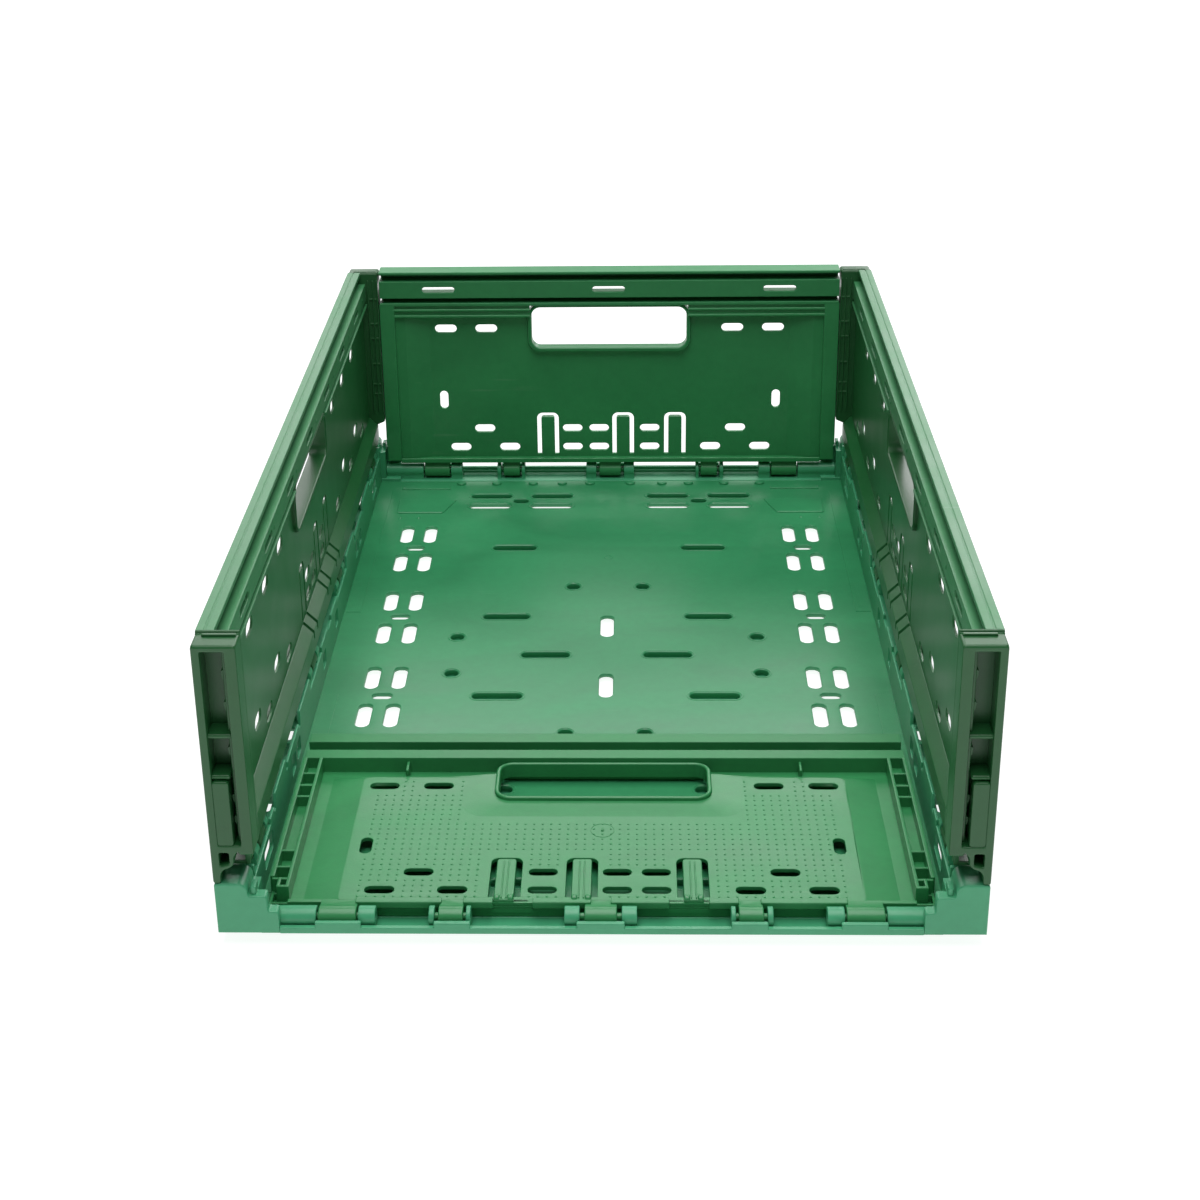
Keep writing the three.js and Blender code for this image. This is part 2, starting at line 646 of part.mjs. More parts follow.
// `low` and `high` name the wall's two ends, at -X and +X of its own frame.
function longWall(name, low, high) {
  const wall = new THREE.Group();
  wall.add(
    part(`${name}_panel`, longPanel(), COLOURS.panel),
    part(`${name}_shoulder_${high}`, longShoulder(), COLOURS.panel),
    part(`${name}_shoulder_${low}`, mirrorX(longShoulder()), COLOURS.panel),
    part(`${name}_handle_frame`, handleFrame(LONG_HANDLE, LONG_COLLAR), COLOURS.rib),
    part(`${name}_rim`, longRim(), COLOURS.rim),
    part(`${name}_post_${high}`, longPost(), COLOURS.post),
    part(`${name}_post_${low}`, mirrorX(longPost()), COLOURS.post),
    part(`${name}_hinge_strip`, longHingeStrip(), COLOURS.rib),
  );
  return wall;
}

// ---- the crate ----

const crate = new THREE.Group();

crate.add(part('floor', floor(), COLOURS.floor));

const footX = WIDTH / 2 - FOOT_INSET;
const footY = LENGTH / 2 - FOOT_INSET;
const footInner = footX - FOOT_WIDTH;
crate.add(
  part('foot_right', box(footInner, -footY, 0, footX, footY, FLOOR_BOTTOM), COLOURS.base),
  part('foot_left', box(-footX, -footY, 0, -footInner, footY, FLOOR_BOTTOM), COLOURS.base),
  part('foot_far', box(-footInner, footY - FOOT_WIDTH, 0, footInner, footY, FLOOR_BOTTOM), COLOURS.base),
  part('foot_near', box(-footInner, -footY, 0, footInner, FOOT_WIDTH - footY, FLOOR_BOTTOM), COLOURS.base),
);

const farEnd = new THREE.Group();
farEnd.add(
  part('end_rail_far', endRail(), COLOURS.base),
  part('corner_far_right', cornerBlock(), COLOURS.base),
  part('corner_far_left', mirrorX(cornerBlock()), COLOURS.base),
);
const nearEnd = new THREE.Group();
nearEnd.rotation.z = Math.PI;
nearEnd.add(
  part('end_rail_near', endRail(), COLOURS.base),
  part('corner_near_left', cornerBlock(), COLOURS.base),
  part('corner_near_right', mirrorX(cornerBlock()), COLOURS.base),
);
crate.add(farEnd, nearEnd);

const leftRail = part('side_rail_left', sideRail(), COLOURS.base);
leftRail.rotation.z = Math.PI;
crate.add(part('side_rail_right', sideRail(), COLOURS.base), leftRail);

const farWall = shortWall('far');
farWall.position.set(0, LENGTH / 2 - SHORT_AXIS_IN, SHORT_AXIS_Z);
crate.add(farWall);

// The near wall is the same moulding turned about Z, then folded inward onto the floor.
const nearWall = shortWall('near');
nearWall.rotation.z = Math.PI;
const nearFold = new THREE.Group();
nearFold.position.set(0, SHORT_AXIS_IN - LENGTH / 2, SHORT_AXIS_Z);
nearFold.rotation.x = -Math.PI / 2;
nearFold.add(nearWall);
crate.add(nearFold);

const leftWall = longWall('left', 'near', 'far');
leftWall.position.set(LONG_AXIS_IN - WIDTH / 2, 0, LONG_AXIS_Z);
leftWall.rotation.z = Math.PI / 2;
const rightWall = longWall('right', 'far', 'near');
rightWall.position.set(WIDTH / 2 - LONG_AXIS_IN, 0, LONG_AXIS_Z);
rightWall.rotation.z = -Math.PI / 2;
crate.add(leftWall, rightWall);

export default crate;
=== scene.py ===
"""Looks of a collapsible storage crate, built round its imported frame.

Shapes are drawn in millimetres in the frame of their moulding: the base's is the crate's own, and
a wall's has its origin on the hinge axis, X along the wall, Y outward and Z up as it stands. Each
piece is put in place in metres and takes over from the CAD nodes that it details.
"""

import json
import math

import bpy
from mathutils import Matrix, Vector
from mathutils.geometry import tessellate_polygon


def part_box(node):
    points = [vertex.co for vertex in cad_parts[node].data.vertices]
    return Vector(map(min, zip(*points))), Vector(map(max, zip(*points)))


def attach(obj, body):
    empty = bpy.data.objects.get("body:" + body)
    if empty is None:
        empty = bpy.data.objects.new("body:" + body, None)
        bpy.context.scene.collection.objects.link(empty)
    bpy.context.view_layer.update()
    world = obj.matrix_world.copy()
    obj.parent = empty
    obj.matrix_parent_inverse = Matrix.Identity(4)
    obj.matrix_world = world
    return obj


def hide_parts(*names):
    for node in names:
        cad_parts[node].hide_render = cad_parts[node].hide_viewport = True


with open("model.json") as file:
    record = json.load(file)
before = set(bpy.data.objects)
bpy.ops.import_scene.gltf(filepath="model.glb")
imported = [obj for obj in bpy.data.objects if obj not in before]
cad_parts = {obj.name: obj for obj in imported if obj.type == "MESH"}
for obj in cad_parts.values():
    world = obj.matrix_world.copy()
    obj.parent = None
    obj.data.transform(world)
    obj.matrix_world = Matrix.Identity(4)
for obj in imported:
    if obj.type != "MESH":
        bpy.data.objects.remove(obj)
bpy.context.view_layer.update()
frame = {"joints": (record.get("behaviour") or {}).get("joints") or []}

MM = 0.001
BEVEL = 0.45  # rounding of a moulding's edges
SKIN = 2.5  # thickness of ribs and panels
OVERLAP = 0.5  # how far a region of a moulding reaches into the next one


# ---- outlines: lists of 2-D points ----

def rect(x0, y0, x1, y1, radius=0.0, steps=4):
    """Rectangle, with round corners if radius is given."""
    corners = [(x1 - radius, y0 + radius, -90), (x1 - radius, y1 - radius, 0),
               (x0 + radius, y1 - radius, 90), (x0 + radius, y0 + radius, 180)]
    if not radius:
        return [Vector((x, y)) for x, y, _ in corners]
    return [p for x, y, start in corners for p in arc((x, y), radius, start, start + 90, steps)]


def arc(centre, radius, start, end, steps):
    """Points round a centre between two angles in degrees, both ends included."""
    angles = [math.radians(start + (end - start) * i / steps) for i in range(steps + 1)]
    return [Vector(centre) + radius * Vector((math.cos(a), math.sin(a))) for a in angles]


def circle(x, y, radius, steps=20):
    return arc((x, y), radius, 0, 360, steps)[:-1]


def oval(x, y, length, width, upright=False):
    """Slot with round ends, length end to end."""
    half = (length - width) / 2
    radius = width / 2
    steps = 8
    if upright:
        return arc((x, y + half), radius, 0, 180, steps) + arc((x, y - half), radius, 180, 360, steps)
    return arc((x + half, y), radius, -90, 90, steps) + arc((x - half, y), radius, 90, 270, steps)


def rounded(points, radius):
    """Polygon with its corners rounded off."""
    corners = [Vector(p) for p in points]
    steps = 3
    loop = []
    for before, here, after in neighbours(corners):
        reach = min(radius, (before - here).length * 0.45, (after - here).length * 0.45)
        start = here + (before - here).normalized() * reach
        end = here + (after - here).normalized() * reach
        for i in range(steps + 1):
            t = i / steps
            loop.append(start * (1 - t) ** 2 + here * 2 * t * (1 - t) + end * t ** 2)
    return loop


def reflected(line):
    """The line's points in reverse, on the other side of the upright axis."""
    return [Vector((-p.x, p.y)) for p in reversed(line)]


def neighbours(loop):
    """Each point with the one before it and the one after it."""
    return zip(loop[-1:] + loop[:-1], loop, loop[1:] + loop[:1])


def signed_area(loop):
    return sum(a.cross(b) for a, b, _ in neighbours(loop)) / 2


def inset(loop, distance):
    """The loop moved towards its left by a distance."""
    points = []
    for before, here, after in neighbours(loop):
        a = (here - before).orthogonal().normalized()
        b = (after - here).orthogonal().normalized()
        points.append(here + (a + b) * (distance / max(0.35, 1 + a.dot(b))))
    return points


# ---- solids: (points, faces), closed and facing out ----

AXES = {"x": lambda u, v, w: (w, u, v), "y": lambda u, v, w: (u, w, v), "z": lambda u, v, w: (u, v, w)}


def placed(points, faces, along):
    """A solid drawn in (u, v) and run along w, turned so that w is the named axis."""
    points = [Vector(AXES[along](*p)) for p in points]
    volume = sum(points[f[0]].dot(points[a].cross(points[b]))
                 for f in faces for a, b in zip(f[1:-1], f[2:]))
    return points, faces if volume > 0 else [f[::-1] for f in faces]


def quads(a, b, count):
    """Faces between two loops of as many points, numbered from a and from b."""
    return [(a + i, a + (i + 1) % count, b + (i + 1) % count, b + i) for i in range(count)]


def keeps_shape(loop, distance):
    """Whether all edges of the loop keep their direction when it is inset."""
    edges = zip(neighbours(loop), neighbours(inset(loop, distance)))
    return all((b - a).dot(d - c) > 0 for (a, b, _), (c, d, _) in edges)


def prism(outline, low, high, along, holes=(), bevel=BEVEL):
    """An outline with holes, run along an axis, with its edges rounded at both faces."""
    outline, *holes = [[Vector(p) for p in loop] for loop in (outline, *holes)]
    loops = [outline if signed_area(outline) > 0 else outline[::-1]]
    loops += [hole if signed_area(hole) < 0 else hole[::-1] for hole in holes]
    bevel = min(bevel, (high - low) * 0.4)
    while not all(keeps_shape(loop, bevel) for loop in loops):
        bevel *= 0.8
    turns = [math.radians(angle) for angle in (0, 45, 90)]
    ends = [(bevel * (1 - math.cos(turn)), bevel * (1 - math.sin(turn))) for turn in turns]
    levels = [(low + rise, cut) for rise, cut in ends]
    levels += [(high - rise, cut) for rise, cut in reversed(ends)]
    points = [(p.x, p.y, level) for level, cut in levels for loop in loops
              for p in (inset(loop, cut) if cut > 1e-6 else loop)]
    faces, flat = [], []
    count = sum(len(loop) for loop in loops)
    top = (len(levels) - 1) * count
    start = 0
    for loop in loops:
        for level_start in range(start, top, count):
            faces += quads(level_start, level_start + count, len(loop))
        flat.append([Vector((*p[:2], 0)) for p in points[start:start + len(loop)]])
        start += len(loop)
    for a, b, c in tessellate_polygon(flat):
        sides = Vector(points[b]) - Vector(points[a]), Vector(points[c]) - Vector(points[a])
        if sides[0].cross(sides[1]).z < 0:
            b, c = c, b
        faces += [(a, c, b), (top + a, top + b, top + c)]
    return placed(points, faces, along)


def block(x0, y0, z0, x1, y1, z1, bevel=BEVEL):
    """Box with rounded edges along its longest side."""
    ends = {"x": (x0, x1), "y": (y0, y1), "z": (z0, z1)}
    spans = {axis: high - low for axis, (low, high) in ends.items()}
    along = max(spans, key=spans.get)
    radius = min(bevel, min(spans.values()) * 0.4)
    (u0, u1), (v0, v1) = [ends[axis] for axis in ends if axis != along]
    return prism(rect(u0, v0, u1, v1, radius, 2), *ends[along], along, bevel=radius)


def profile(points, radius, x0, x1, bevel=BEVEL):
    """Section of (y, z) points, its corners rounded, run along X."""
    return prism(rounded(points, radius), x0, x1, "x", bevel=bevel)


def bar(y0, z0, y1, z1, x0, x1, radius=0.5, bevel=BEVEL):
    """Oblong section run along X."""
    return profile(rect(y0, z0, y1, z1), radius, x0, x1, bevel)


def sleeve(rings, along):
    """Closed skin through rings of (loop, level), the last joined to the first."""
    points = [(p.x, p.y, level) for loop, level in rings for p in loop]
    count = len(rings[0][0])
    starts = range(0, len(points), count)
    faces = [face for a, b in zip(starts, [*starts[1:], 0]) for face in quads(a, b, count)]
    return placed(points, faces, along)


def swept(loops, along):
    """Solid skinned over a row of closed loops of 3-D points, with flat ends."""
    points = [p for loop in loops for p in loop]
    count = len(loops[0])
    last = len(points) - count
    faces = [tuple(reversed(range(count))), tuple(range(last, last + count))]
    for start in range(0, last, count):
        faces += quads(start, start + count, count)
    return placed(points, faces, along)


def dome(x, y, base, radius, height, along, sides=10, sink=0.3):
    """Low round bump, its foot sunk a little into the face under it."""
    lift = math.sin(math.radians(45))
    rings = [(radius, base - math.copysign(sink, height)), (radius, base),
             (radius * lift, base + height * lift)]
    points = [(p.x, p.y, level) for r, level in rings for p in circle(x, y, r, sides)]
    points.append((x, y, base + height))
    tip, last = 3 * sides, 2 * sides
    faces = [tuple(reversed(range(sides))), *quads(0, sides, sides), *quads(sides, last, sides)]
    faces += [(last + i, last + (i + 1) % sides, tip) for i in range(sides)]
    return placed(points, faces, along)


def moved(shape, x=0.0, y=0.0, z=0.0):
    points, faces = shape
    return [p + Vector((x, y, z)) for p in points], faces


def turned(shape, degrees):
    """The solid turned about Z."""
    points, faces = shape
    turn = Matrix.Rotation(math.radians(degrees), 3, "Z")
    return [turn @ p for p in points], faces


def mirrored(shapes):
    """The solids on the other side of the plane x = 0."""
    return [([Vector((-p.x, p.y, p.z)) for p in points], [f[::-1] for f in faces])
            for points, faces in shapes]


def both_spans(spans):
    """The spans and their mirror images."""
    return [*spans, *[(-b, -a) for a, b in spans]]


# ---- finishes ----

MIX_FACTOR, MIX_A, MIX_B = 0, 6, 7  # a mix node's inputs when it mixes colours
MIX_RESULT = 2


def node(tree, kind, inputs, **settings):
    """A shader node with its settings and inputs, where an input is a value or another's output."""
    made = tree.nodes.new(kind)
    for name, value in settings.items():
        setattr(made, name, value)
    for name, value in inputs.items():
        if isinstance(value, bpy.types.NodeSocket):
            tree.links.new(value, made.inputs[name])
        else:
            made.inputs[name].default_value = value
    return made


def ramp(tree, value, stops):
    """Colour from a value, by stops of (position, colour)."""
    made = node(tree, "ShaderNodeValToRGB", {"Fac": value})
    elements = made.color_ramp.elements
    for i, (position, colour) in enumerate(stops):
        element = elements[i] if i < 2 else elements.new(position)
        element.position = position
        element.color = colour
    return made.outputs["Color"]


def tint(colour, factor):
    """The colour made lighter or darker, with an alpha of 1."""
    return tuple(min(1.0, c * factor) for c in colour[:3]) + (1.0,)


def noise(tree, place, scale, detail, roughness, distortion=0.0):
    """Value of a noise texture."""
    return node(tree, "ShaderNodeTexNoise", {
        "Vector": place, "Scale": scale, "Detail": detail, "Roughness": roughness,
        "Distortion": distortion}).outputs["Fac"]


def maths(tree, operation, *values):
    """Result of a math node."""
    return node(tree, "ShaderNodeMath", dict(enumerate(values)), operation=operation).outputs[0]


def moulded_plastic(name, colour, roughness=0.34, mottling=0.10, scuffs=0.10):
    """Satin polypropylene: faint flow marks and mottling, a fine leather-like grain, thin pale
    scratches, and a gloss that wear breaks up."""
    material = bpy.data.materials.new(name)
    material.use_nodes = True
    tree = material.node_tree
    tree.nodes.clear()
    place = node(tree, "ShaderNodeTexCoord", {}).outputs["Object"]

    flow_place = node(tree, "ShaderNodeMapping", {"Vector": place, "Scale": (3.0, 7.0, 5.0)})
    flow = noise(tree, flow_place.outputs["Vector"], 2.2, 4.0, 0.45, distortion=1.1)
    speckle = noise(tree, place, 160.0, 3.0, 0.6)
    scratch_place = node(tree, "ShaderNodeMapping", {
        "Vector": place, "Rotation": (0.3, 0.2, 0.5), "Scale": (14.0, 240.0, 190.0)})
    scratches = noise(tree, scratch_place.outputs["Vector"], 1.0, 2.0, 0.5)
    patches = noise(tree, place, 9.0, 2.0, 0.5)
    grain = noise(tree, place, 900.0, 2.0, 0.5)
    waviness = noise(tree, place, 16.0, 1.0, 0.4)

    body = ramp(tree, flow, [(0.25, tint(colour, 1 - mottling)), (0.5, tint(colour, 1.0)),
                             (0.78, tint(colour, 1 + mottling))])
    fine = ramp(tree, speckle, [(0.3, (0.9, 0.9, 0.9, 1)), (0.7, (1.06, 1.06, 1.06, 1))])
    grained = node(tree, "ShaderNodeMix", {MIX_FACTOR: 0.5, MIX_A: body, MIX_B: fine},
                   data_type="RGBA", blend_type="MULTIPLY")
    where_worn = ramp(tree, patches, [(0.52, (0, 0, 0, 1)), (0.72, (1, 1, 1, 1))])
    lines = ramp(tree, scratches, [(0.66, (0, 0, 0, 1)), (0.74, (1, 1, 1, 1))])
    worn = maths(tree, "MULTIPLY", maths(tree, "MULTIPLY", where_worn, lines), scuffs)
    pale = tint([0.35 + 0.5 * c for c in colour[:3]], 1)
    scuffed = node(tree, "ShaderNodeMix", {
        MIX_FACTOR: worn, MIX_A: grained.outputs[MIX_RESULT], MIX_B: pale}, data_type="RGBA")

    gloss = node(tree, "ShaderNodeMapRange", {
        "Value": flow, "From Min": 0.2, "From Max": 0.8, "To Min": roughness - 0.05,
        "To Max": roughness + 0.08})
    dulled = maths(tree, "MULTIPLY_ADD", worn, 0.25, gloss.outputs["Result"])
    slow = node(tree, "ShaderNodeBump", {"Strength": 0.10, "Distance": 0.004, "Height": waviness})
    bump = node(tree, "ShaderNodeBump", {
        "Strength": 0.10, "Distance": 0.0004, "Height": grain, "Normal": slow.outputs["Normal"]})

    shader = node(tree, "ShaderNodeBsdfPrincipled", {
        "Base Color": scuffed.outputs[MIX_RESULT], "Roughness": dulled, "IOR": 1.49,
        "Specular IOR Level": 0.5, "Normal": bump.outputs["Normal"]})
    node(tree, "ShaderNodeOutputMaterial", {"Surface": shader.outputs["BSDF"]})
    return material


FLOOR_GREEN = (0.034, 0.270, 0.108)
BASE_GREEN = (0.060, 0.365, 0.178)
PANEL_GREEN = (0.036, 0.265, 0.090)
RIM_GREEN = (0.046, 0.220, 0.085)
# painted shade: the wall plastic made much darker for the long walls' posts, collars, outer ribs and
# barrels, standing in for the shade they get
SHADED_WALL_GREEN = (0.015, 0.105, 0.029)
# painted shade: the wall plastic made darker for the long walls' sheet, which faces sideways and gets
# less light
SHADED_SHEET_GREEN = (0.017, 0.130, 0.037)

FINISHES = {
    "floor_green": moulded_plastic("floor plastic", FLOOR_GREEN, roughness=0.35, mottling=0.16),
    "base_green": moulded_plastic("base plastic", BASE_GREEN, roughness=0.36),
    "panel_green": moulded_plastic("panel plastic", PANEL_GREEN, roughness=0.33, mottling=0.12),
    "rim_green": moulded_plastic("rim plastic", RIM_GREEN, roughness=0.38, scuffs=0.3),
    # painted shade: the long walls' ribs, collars, posts and barrels, much darker than the wall
    # plastic
    "rib_green": moulded_plastic("shaded wall plastic", SHADED_WALL_GREEN, roughness=0.34),
    # painted shade: the long walls' sheet, darker than the panel plastic
    "long_sheet": moulded_plastic("shaded long wall plastic", SHADED_SHEET_GREEN, roughness=0.33),
    "short_rim": moulded_plastic("short rim plastic", tint(PANEL_GREEN, 0.96), roughness=0.46),
}


# ---- making pieces ----

def mesh_object(name, shape, place):
    """Object with the solid as its mesh, in metres."""
    points, faces = shape
    mesh = bpy.data.meshes.new(name)
    mesh.from_pydata([place @ (p * MM) for p in points], [], faces)
    mesh.validate()
    made = bpy.data.objects.new(name, mesh)
    bpy.context.scene.collection.objects.link(made)
    return made


def piece(name, shapes, body, slot, place, stands_for=(), finish=None):
    """One closed mesh from overlapping solids, riding on a body. Its look is that of its slot,
    unless it has a finish of its own."""
    made = mesh_object(name, shapes[0], place)
    if len(shapes) > 1:
        others = bpy.data.collections.new("others")
        bpy.context.scene.collection.children.link(others)
        parts = [mesh_object("other", shape, place) for shape in shapes[1:]]
        for other in parts:
            bpy.context.scene.collection.objects.unlink(other)
            others.objects.link(other)
        union = made.modifiers.new("union", "BOOLEAN")
        union.operation = "UNION"
        union.solver = "MANIFOLD"
        union.operand_type = "COLLECTION"
        union.collection = others
        bpy.context.view_layer.update()
        whole = bpy.data.meshes.new_from_object(
            made.evaluated_get(bpy.context.evaluated_depsgraph_get()))
        made.modifiers.clear()
        made.data = whole
        for other in parts:
            bpy.data.objects.remove(other)
        bpy.data.collections.remove(others)
    mesh = made.data
    mesh.name = name
    mesh.materials.clear()
    mesh.materials.append(FINISHES[finish or slot])
    mesh.polygons.foreach_set("use_smooth", [True] * len(mesh.polygons))
    mesh.set_sharp_from_angle(angle=math.radians(50))
    weigh = made.modifiers.new("weighted normals", "WEIGHTED_NORMAL")
    weigh.keep_sharp = True
    weigh.weight = 90
    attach(made, body)
    if stands_for:
        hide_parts(*stands_for)


# ---- places and sizes that several mouldings share, most of them from the frame ----

def wall_place(body, *turns):
    """Matrix from a wall's own frame, in metres, to the crate's."""
    joint = next(j for j in frame["joints"] if j["child"] == body)
    place = Matrix.Translation(joint["pos_m"])
    for degrees, axis in turns:
        place = place @ Matrix.Rotation(math.radians(degrees), 4, axis)
    return place


def node_box(name, place):
    """Lowest and highest corner of a CAD node in a moulding's own frame, in millimetres."""
    inverse = place.inverted()
    low, high = (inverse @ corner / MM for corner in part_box(name))
    return Vector(map(min, low, high)), Vector(map(max, low, high))


BASE = Matrix.Identity(4)
FAR = wall_place("far_wall")
NEAR = wall_place("near_wall", (-90, "X"), (180, "Z"))
LEFT = wall_place("left_wall", (90, "Z"))
RIGHT = wall_place("right_wall", (-90, "Z"))

SHORT_AXIS, LONG_AXIS = FAR.translation / MM, RIGHT.translation / MM

FLOOR_LOW, FLOOR_HIGH = node_box("floor", BASE)
FLOOR_TOP = FLOOR_HIGH.z
EDGE_BOTTOM = node_box("corner_far_right", BASE)[0].z
RAIL_LOW, RAIL_HIGH = node_box("side_rail_right", BASE)

SHORT_RIM_LOW, SHORT_RIM_HIGH = node_box("far_rim", FAR)
SHORT_IN, SHORT_OUT = SHORT_RIM_LOW.y, SHORT_RIM_HIGH.y
SHORT_HALF, SHORT_TOP = SHORT_RIM_HIGH.x, SHORT_RIM_HIGH.z
SHORT_PANEL_LOW, SHORT_PANEL_HIGH = node_box("far_panel", FAR)
SHORT_EDGE = SHORT_PANEL_HIGH.x

LONG_RIM_LOW, LONG_RIM_HIGH = node_box("right_rim", RIGHT)
LONG_OUT, LONG_TOP = LONG_RIM_HIGH.y, LONG_RIM_HIGH.z
LONG_HALF = LONG_RIM_HIGH.x

QUARTERS = [(side, end) for side in (-1, 1) for end in (-1, 1)]
TONGUES = (-49.0, 10.5, 51.5)
TONGUE_HALF, TONGUE_GAP, TONGUE_CORNER = 5.25, 3.25, 1.8
SLOT_COLUMNS = (-29.5, -8.5, 31.5)
PIN_RADIUS, BORE_RADIUS = 2.0, 2.75


# ---- base ----

GROUP_X, GROUP_Y = 143.0, (53.5, 161.0)  # middles of the groups of four upright slots
SLIT_X, SLIT_Y = (45.0, 92.5), (253.0, 234.5)  # cross slits near the floor's ends


def floor_slots():
    slots = []
    for side, end in QUARTERS:
        for group in GROUP_Y:
            for dx in (-8.75, 8.75):
                for dy in (-23.5, 23.5):
                    slots.append(oval(side * (GROUP_X + dx), end * group + dy, 28, 9, True))
            slots.append(oval(side * GROUP_X, end * group, 13, 7))
    slots += [oval(0, end * 40, 30, 9, True) for end in (-1, 1)]
    return slots + rimmed_slots() + end_eyes()


def slit(x, y, grow):
    """Cross slit, or an outline that runs round it at a distance."""
    return oval(x, y, 32 + 2 * grow, 7.5 + 2 * grow)


def near_slits(grow):
    """The inner row of slits at the near end, where the folded wall lies over them."""
    return [slit(side * x, -SLIT_Y[1], grow) for side in (-1, 1) for x in SLIT_X]


def end_eyes(grow=0.0):
    """Small ovals between the pairs of slits at the floor's ends."""
    return [oval(side * 69, end * 244, 12 + 2 * grow, 7 + 2 * grow) for side, end in QUARTERS]


def rimmed_slots(grow=0.0, end_rows=SLIT_Y):
    """The floor's cross slits and round holes, which have a fine raised rim."""
    spots = [(40.5, 0)]
    spots += [(69.5, end * y) for y in GROUP_Y for end in (-1, 1)]
    spots += [(x, end * y) for x in SLIT_X for y in end_rows for end in (-1, 1)]
    slots = [slit(side * x, y, grow) for x, y in spots for side in (-1, 1)]
    for x, y in ((24.5, 98.5), (101.0, 24.5)):
        slots += [circle(side * x, end * y, 4.5 + grow) for side, end in QUARTERS]
    return slots


def floor_plate():
    """Floor with its slots, their rims, and low marks that the folded walls clear."""
    outline = rect(FLOOR_LOW.x - OVERLAP, FLOOR_LOW.y - OVERLAP,
                   FLOOR_HIGH.x + OVERLAP, FLOOR_HIGH.y + OVERLAP)
    shapes = [prism(outline, FLOOR_LOW.z, FLOOR_TOP, "z", holes=floor_slots(), bevel=0.7)]
    sink = FLOOR_TOP - 1
    rim, strip, patch_top = FLOOR_TOP + 0.3, FLOOR_TOP + 0.35, FLOOR_TOP + 1.0
    for inner, outer in zip(rimmed_slots(0.9), rimmed_slots(2.2)):
        shapes.append(prism(outer, sink, rim, "z", holes=[inner], bevel=0.28))
    for y0, y1 in ((-262.0, -52.0), (60.0, 262.0)):
        for x0, x1 in both_spans([(171.0, 181.5)]):
            shapes.append(block(x0, y0, sink, x1, y1, strip, bevel=0.2))
        for x0, x1 in both_spans([(173.5, 176.0)]):
            shapes.append(block(x0, y0 + 6, sink, x1, y0 + 40, strip + 0.05, bevel=0.15))
    for y in (-268, 268):
        for x0, x1 in both_spans([(126.0, 164.0)]):
            shapes.append(block(x0, y - 3, sink, x1, y + 3, patch_top - 0.1))
    patch = [(128, 221), (164, 221), (164, 246), (119, 246)]
    for side, end in QUARTERS:
        corners = rounded([(side * x, end * y) for x, y in patch], 2)
        shapes.append(prism(corners, sink, patch_top, "z", bevel=0.7))
        shapes += [dome(side * x, end * 213, FLOOR_TOP, 1.6, 0.9, "z") for x in (146.0, 160.0)]
    for x in (-118, -90, -61, -38, -16, 16, 41, 62, 90, 118):
        for end in (-1, 1):
            bump = arc((x, end * 276.5), 3.8, 0, -180 * end, 10)
            shapes.append(prism(bump, sink, FLOOR_TOP + 1.7, "z", bevel=1.0))
    gate_y = 145  # mark left where the plastic was shot in
    shapes.append(prism(circle(0, gate_y, 3.4), sink, rim, "z", holes=[circle(0, gate_y, 2.4)],
                        bevel=0.25))
    shapes.append(dome(0, gate_y, FLOOR_TOP, 1.0, 0.35, "z"))
    return shapes


def underside():
    """Lattice of ribs under the floor, between the slots, inside the stacking foot, with cups that
    close many slots from below as painted shade.
    """
    top = FLOOR_LOW.z + OVERLAP
    half_x, half_y, _ = node_box("foot_right", BASE)[1]
    ring = rect(-half_x, -half_y, half_x, half_y, 6)
    shapes = [prism(ring, 0, top, "z", holes=[inset(ring, 4)], bevel=0.7)]
    rib, bottom, clear = 0.75, 1.0, 8  # half thickness, lower edge, distance from the ring's outside
    # painted shade: a cup with a bottom under each of these slots, so that they show dark where the
    # shaded ground under the crate would be seen
    shade_cup_levels = 0.8, 1.8
    shade_cup_outer, shade_cup_inner = [rimmed_slots(grow, SLIT_Y[:1]) + end_eyes(grow) + near_slits(grow)
                                for grow in (2.4, 0.9)]
    for outer, hollow in zip(shade_cup_outer, shade_cup_inner):
        shapes.append(prism(outer, shade_cup_levels[0], top, "z", holes=[hollow], bevel=0.2))
        shapes.append(prism(outer, *shade_cup_levels, "z", bevel=0.2))
    for x in (-166.0, -119.0, -12.0, 12.0, 119.0, 166.0):
        shapes.append(block(x - rib, clear - half_y, bottom, x + rib, half_y - clear, top))
    for y in (-268.0, -215.0, -107.0, -11.0, 11.0, 107.0, 215.0, 268.0):
        shapes.append(block(clear - half_x, y - rib, bottom, half_x - clear, y + rib, top))
    for y in (-190.0, -134.0, -76.0, 76.0, 134.0, 190.0):
        shapes.append(block(-119, y - rib, bottom, 119, y + rib, top))
    for x0, x1 in both_spans([(167.0, half_x)]):
        for y0, y1 in both_spans([(FLOOR_HIGH.y - OVERLAP, half_y)]):
            shapes.append(block(x0, y0, 2.5, x1, y1, EDGE_BOTTOM + OVERLAP))
    return shapes


def knuckle(span, radius, block_half, bottom):
    """Fixed knuckle along X round the origin, standing on a block."""
    outline = [(-block_half, bottom), (block_half, bottom), *arc((0, 0), radius, -35, 215, 20)]
    return prism(outline, *span, "x", holes=[circle(0, 0, BORE_RADIUS, 14)], bevel=0.5)


END_KNUCKLES = ((149.0, 178.5), (118.0, 127.0), (87.0, 90.0), (68.0, 70.5), (11.0, 19.0))


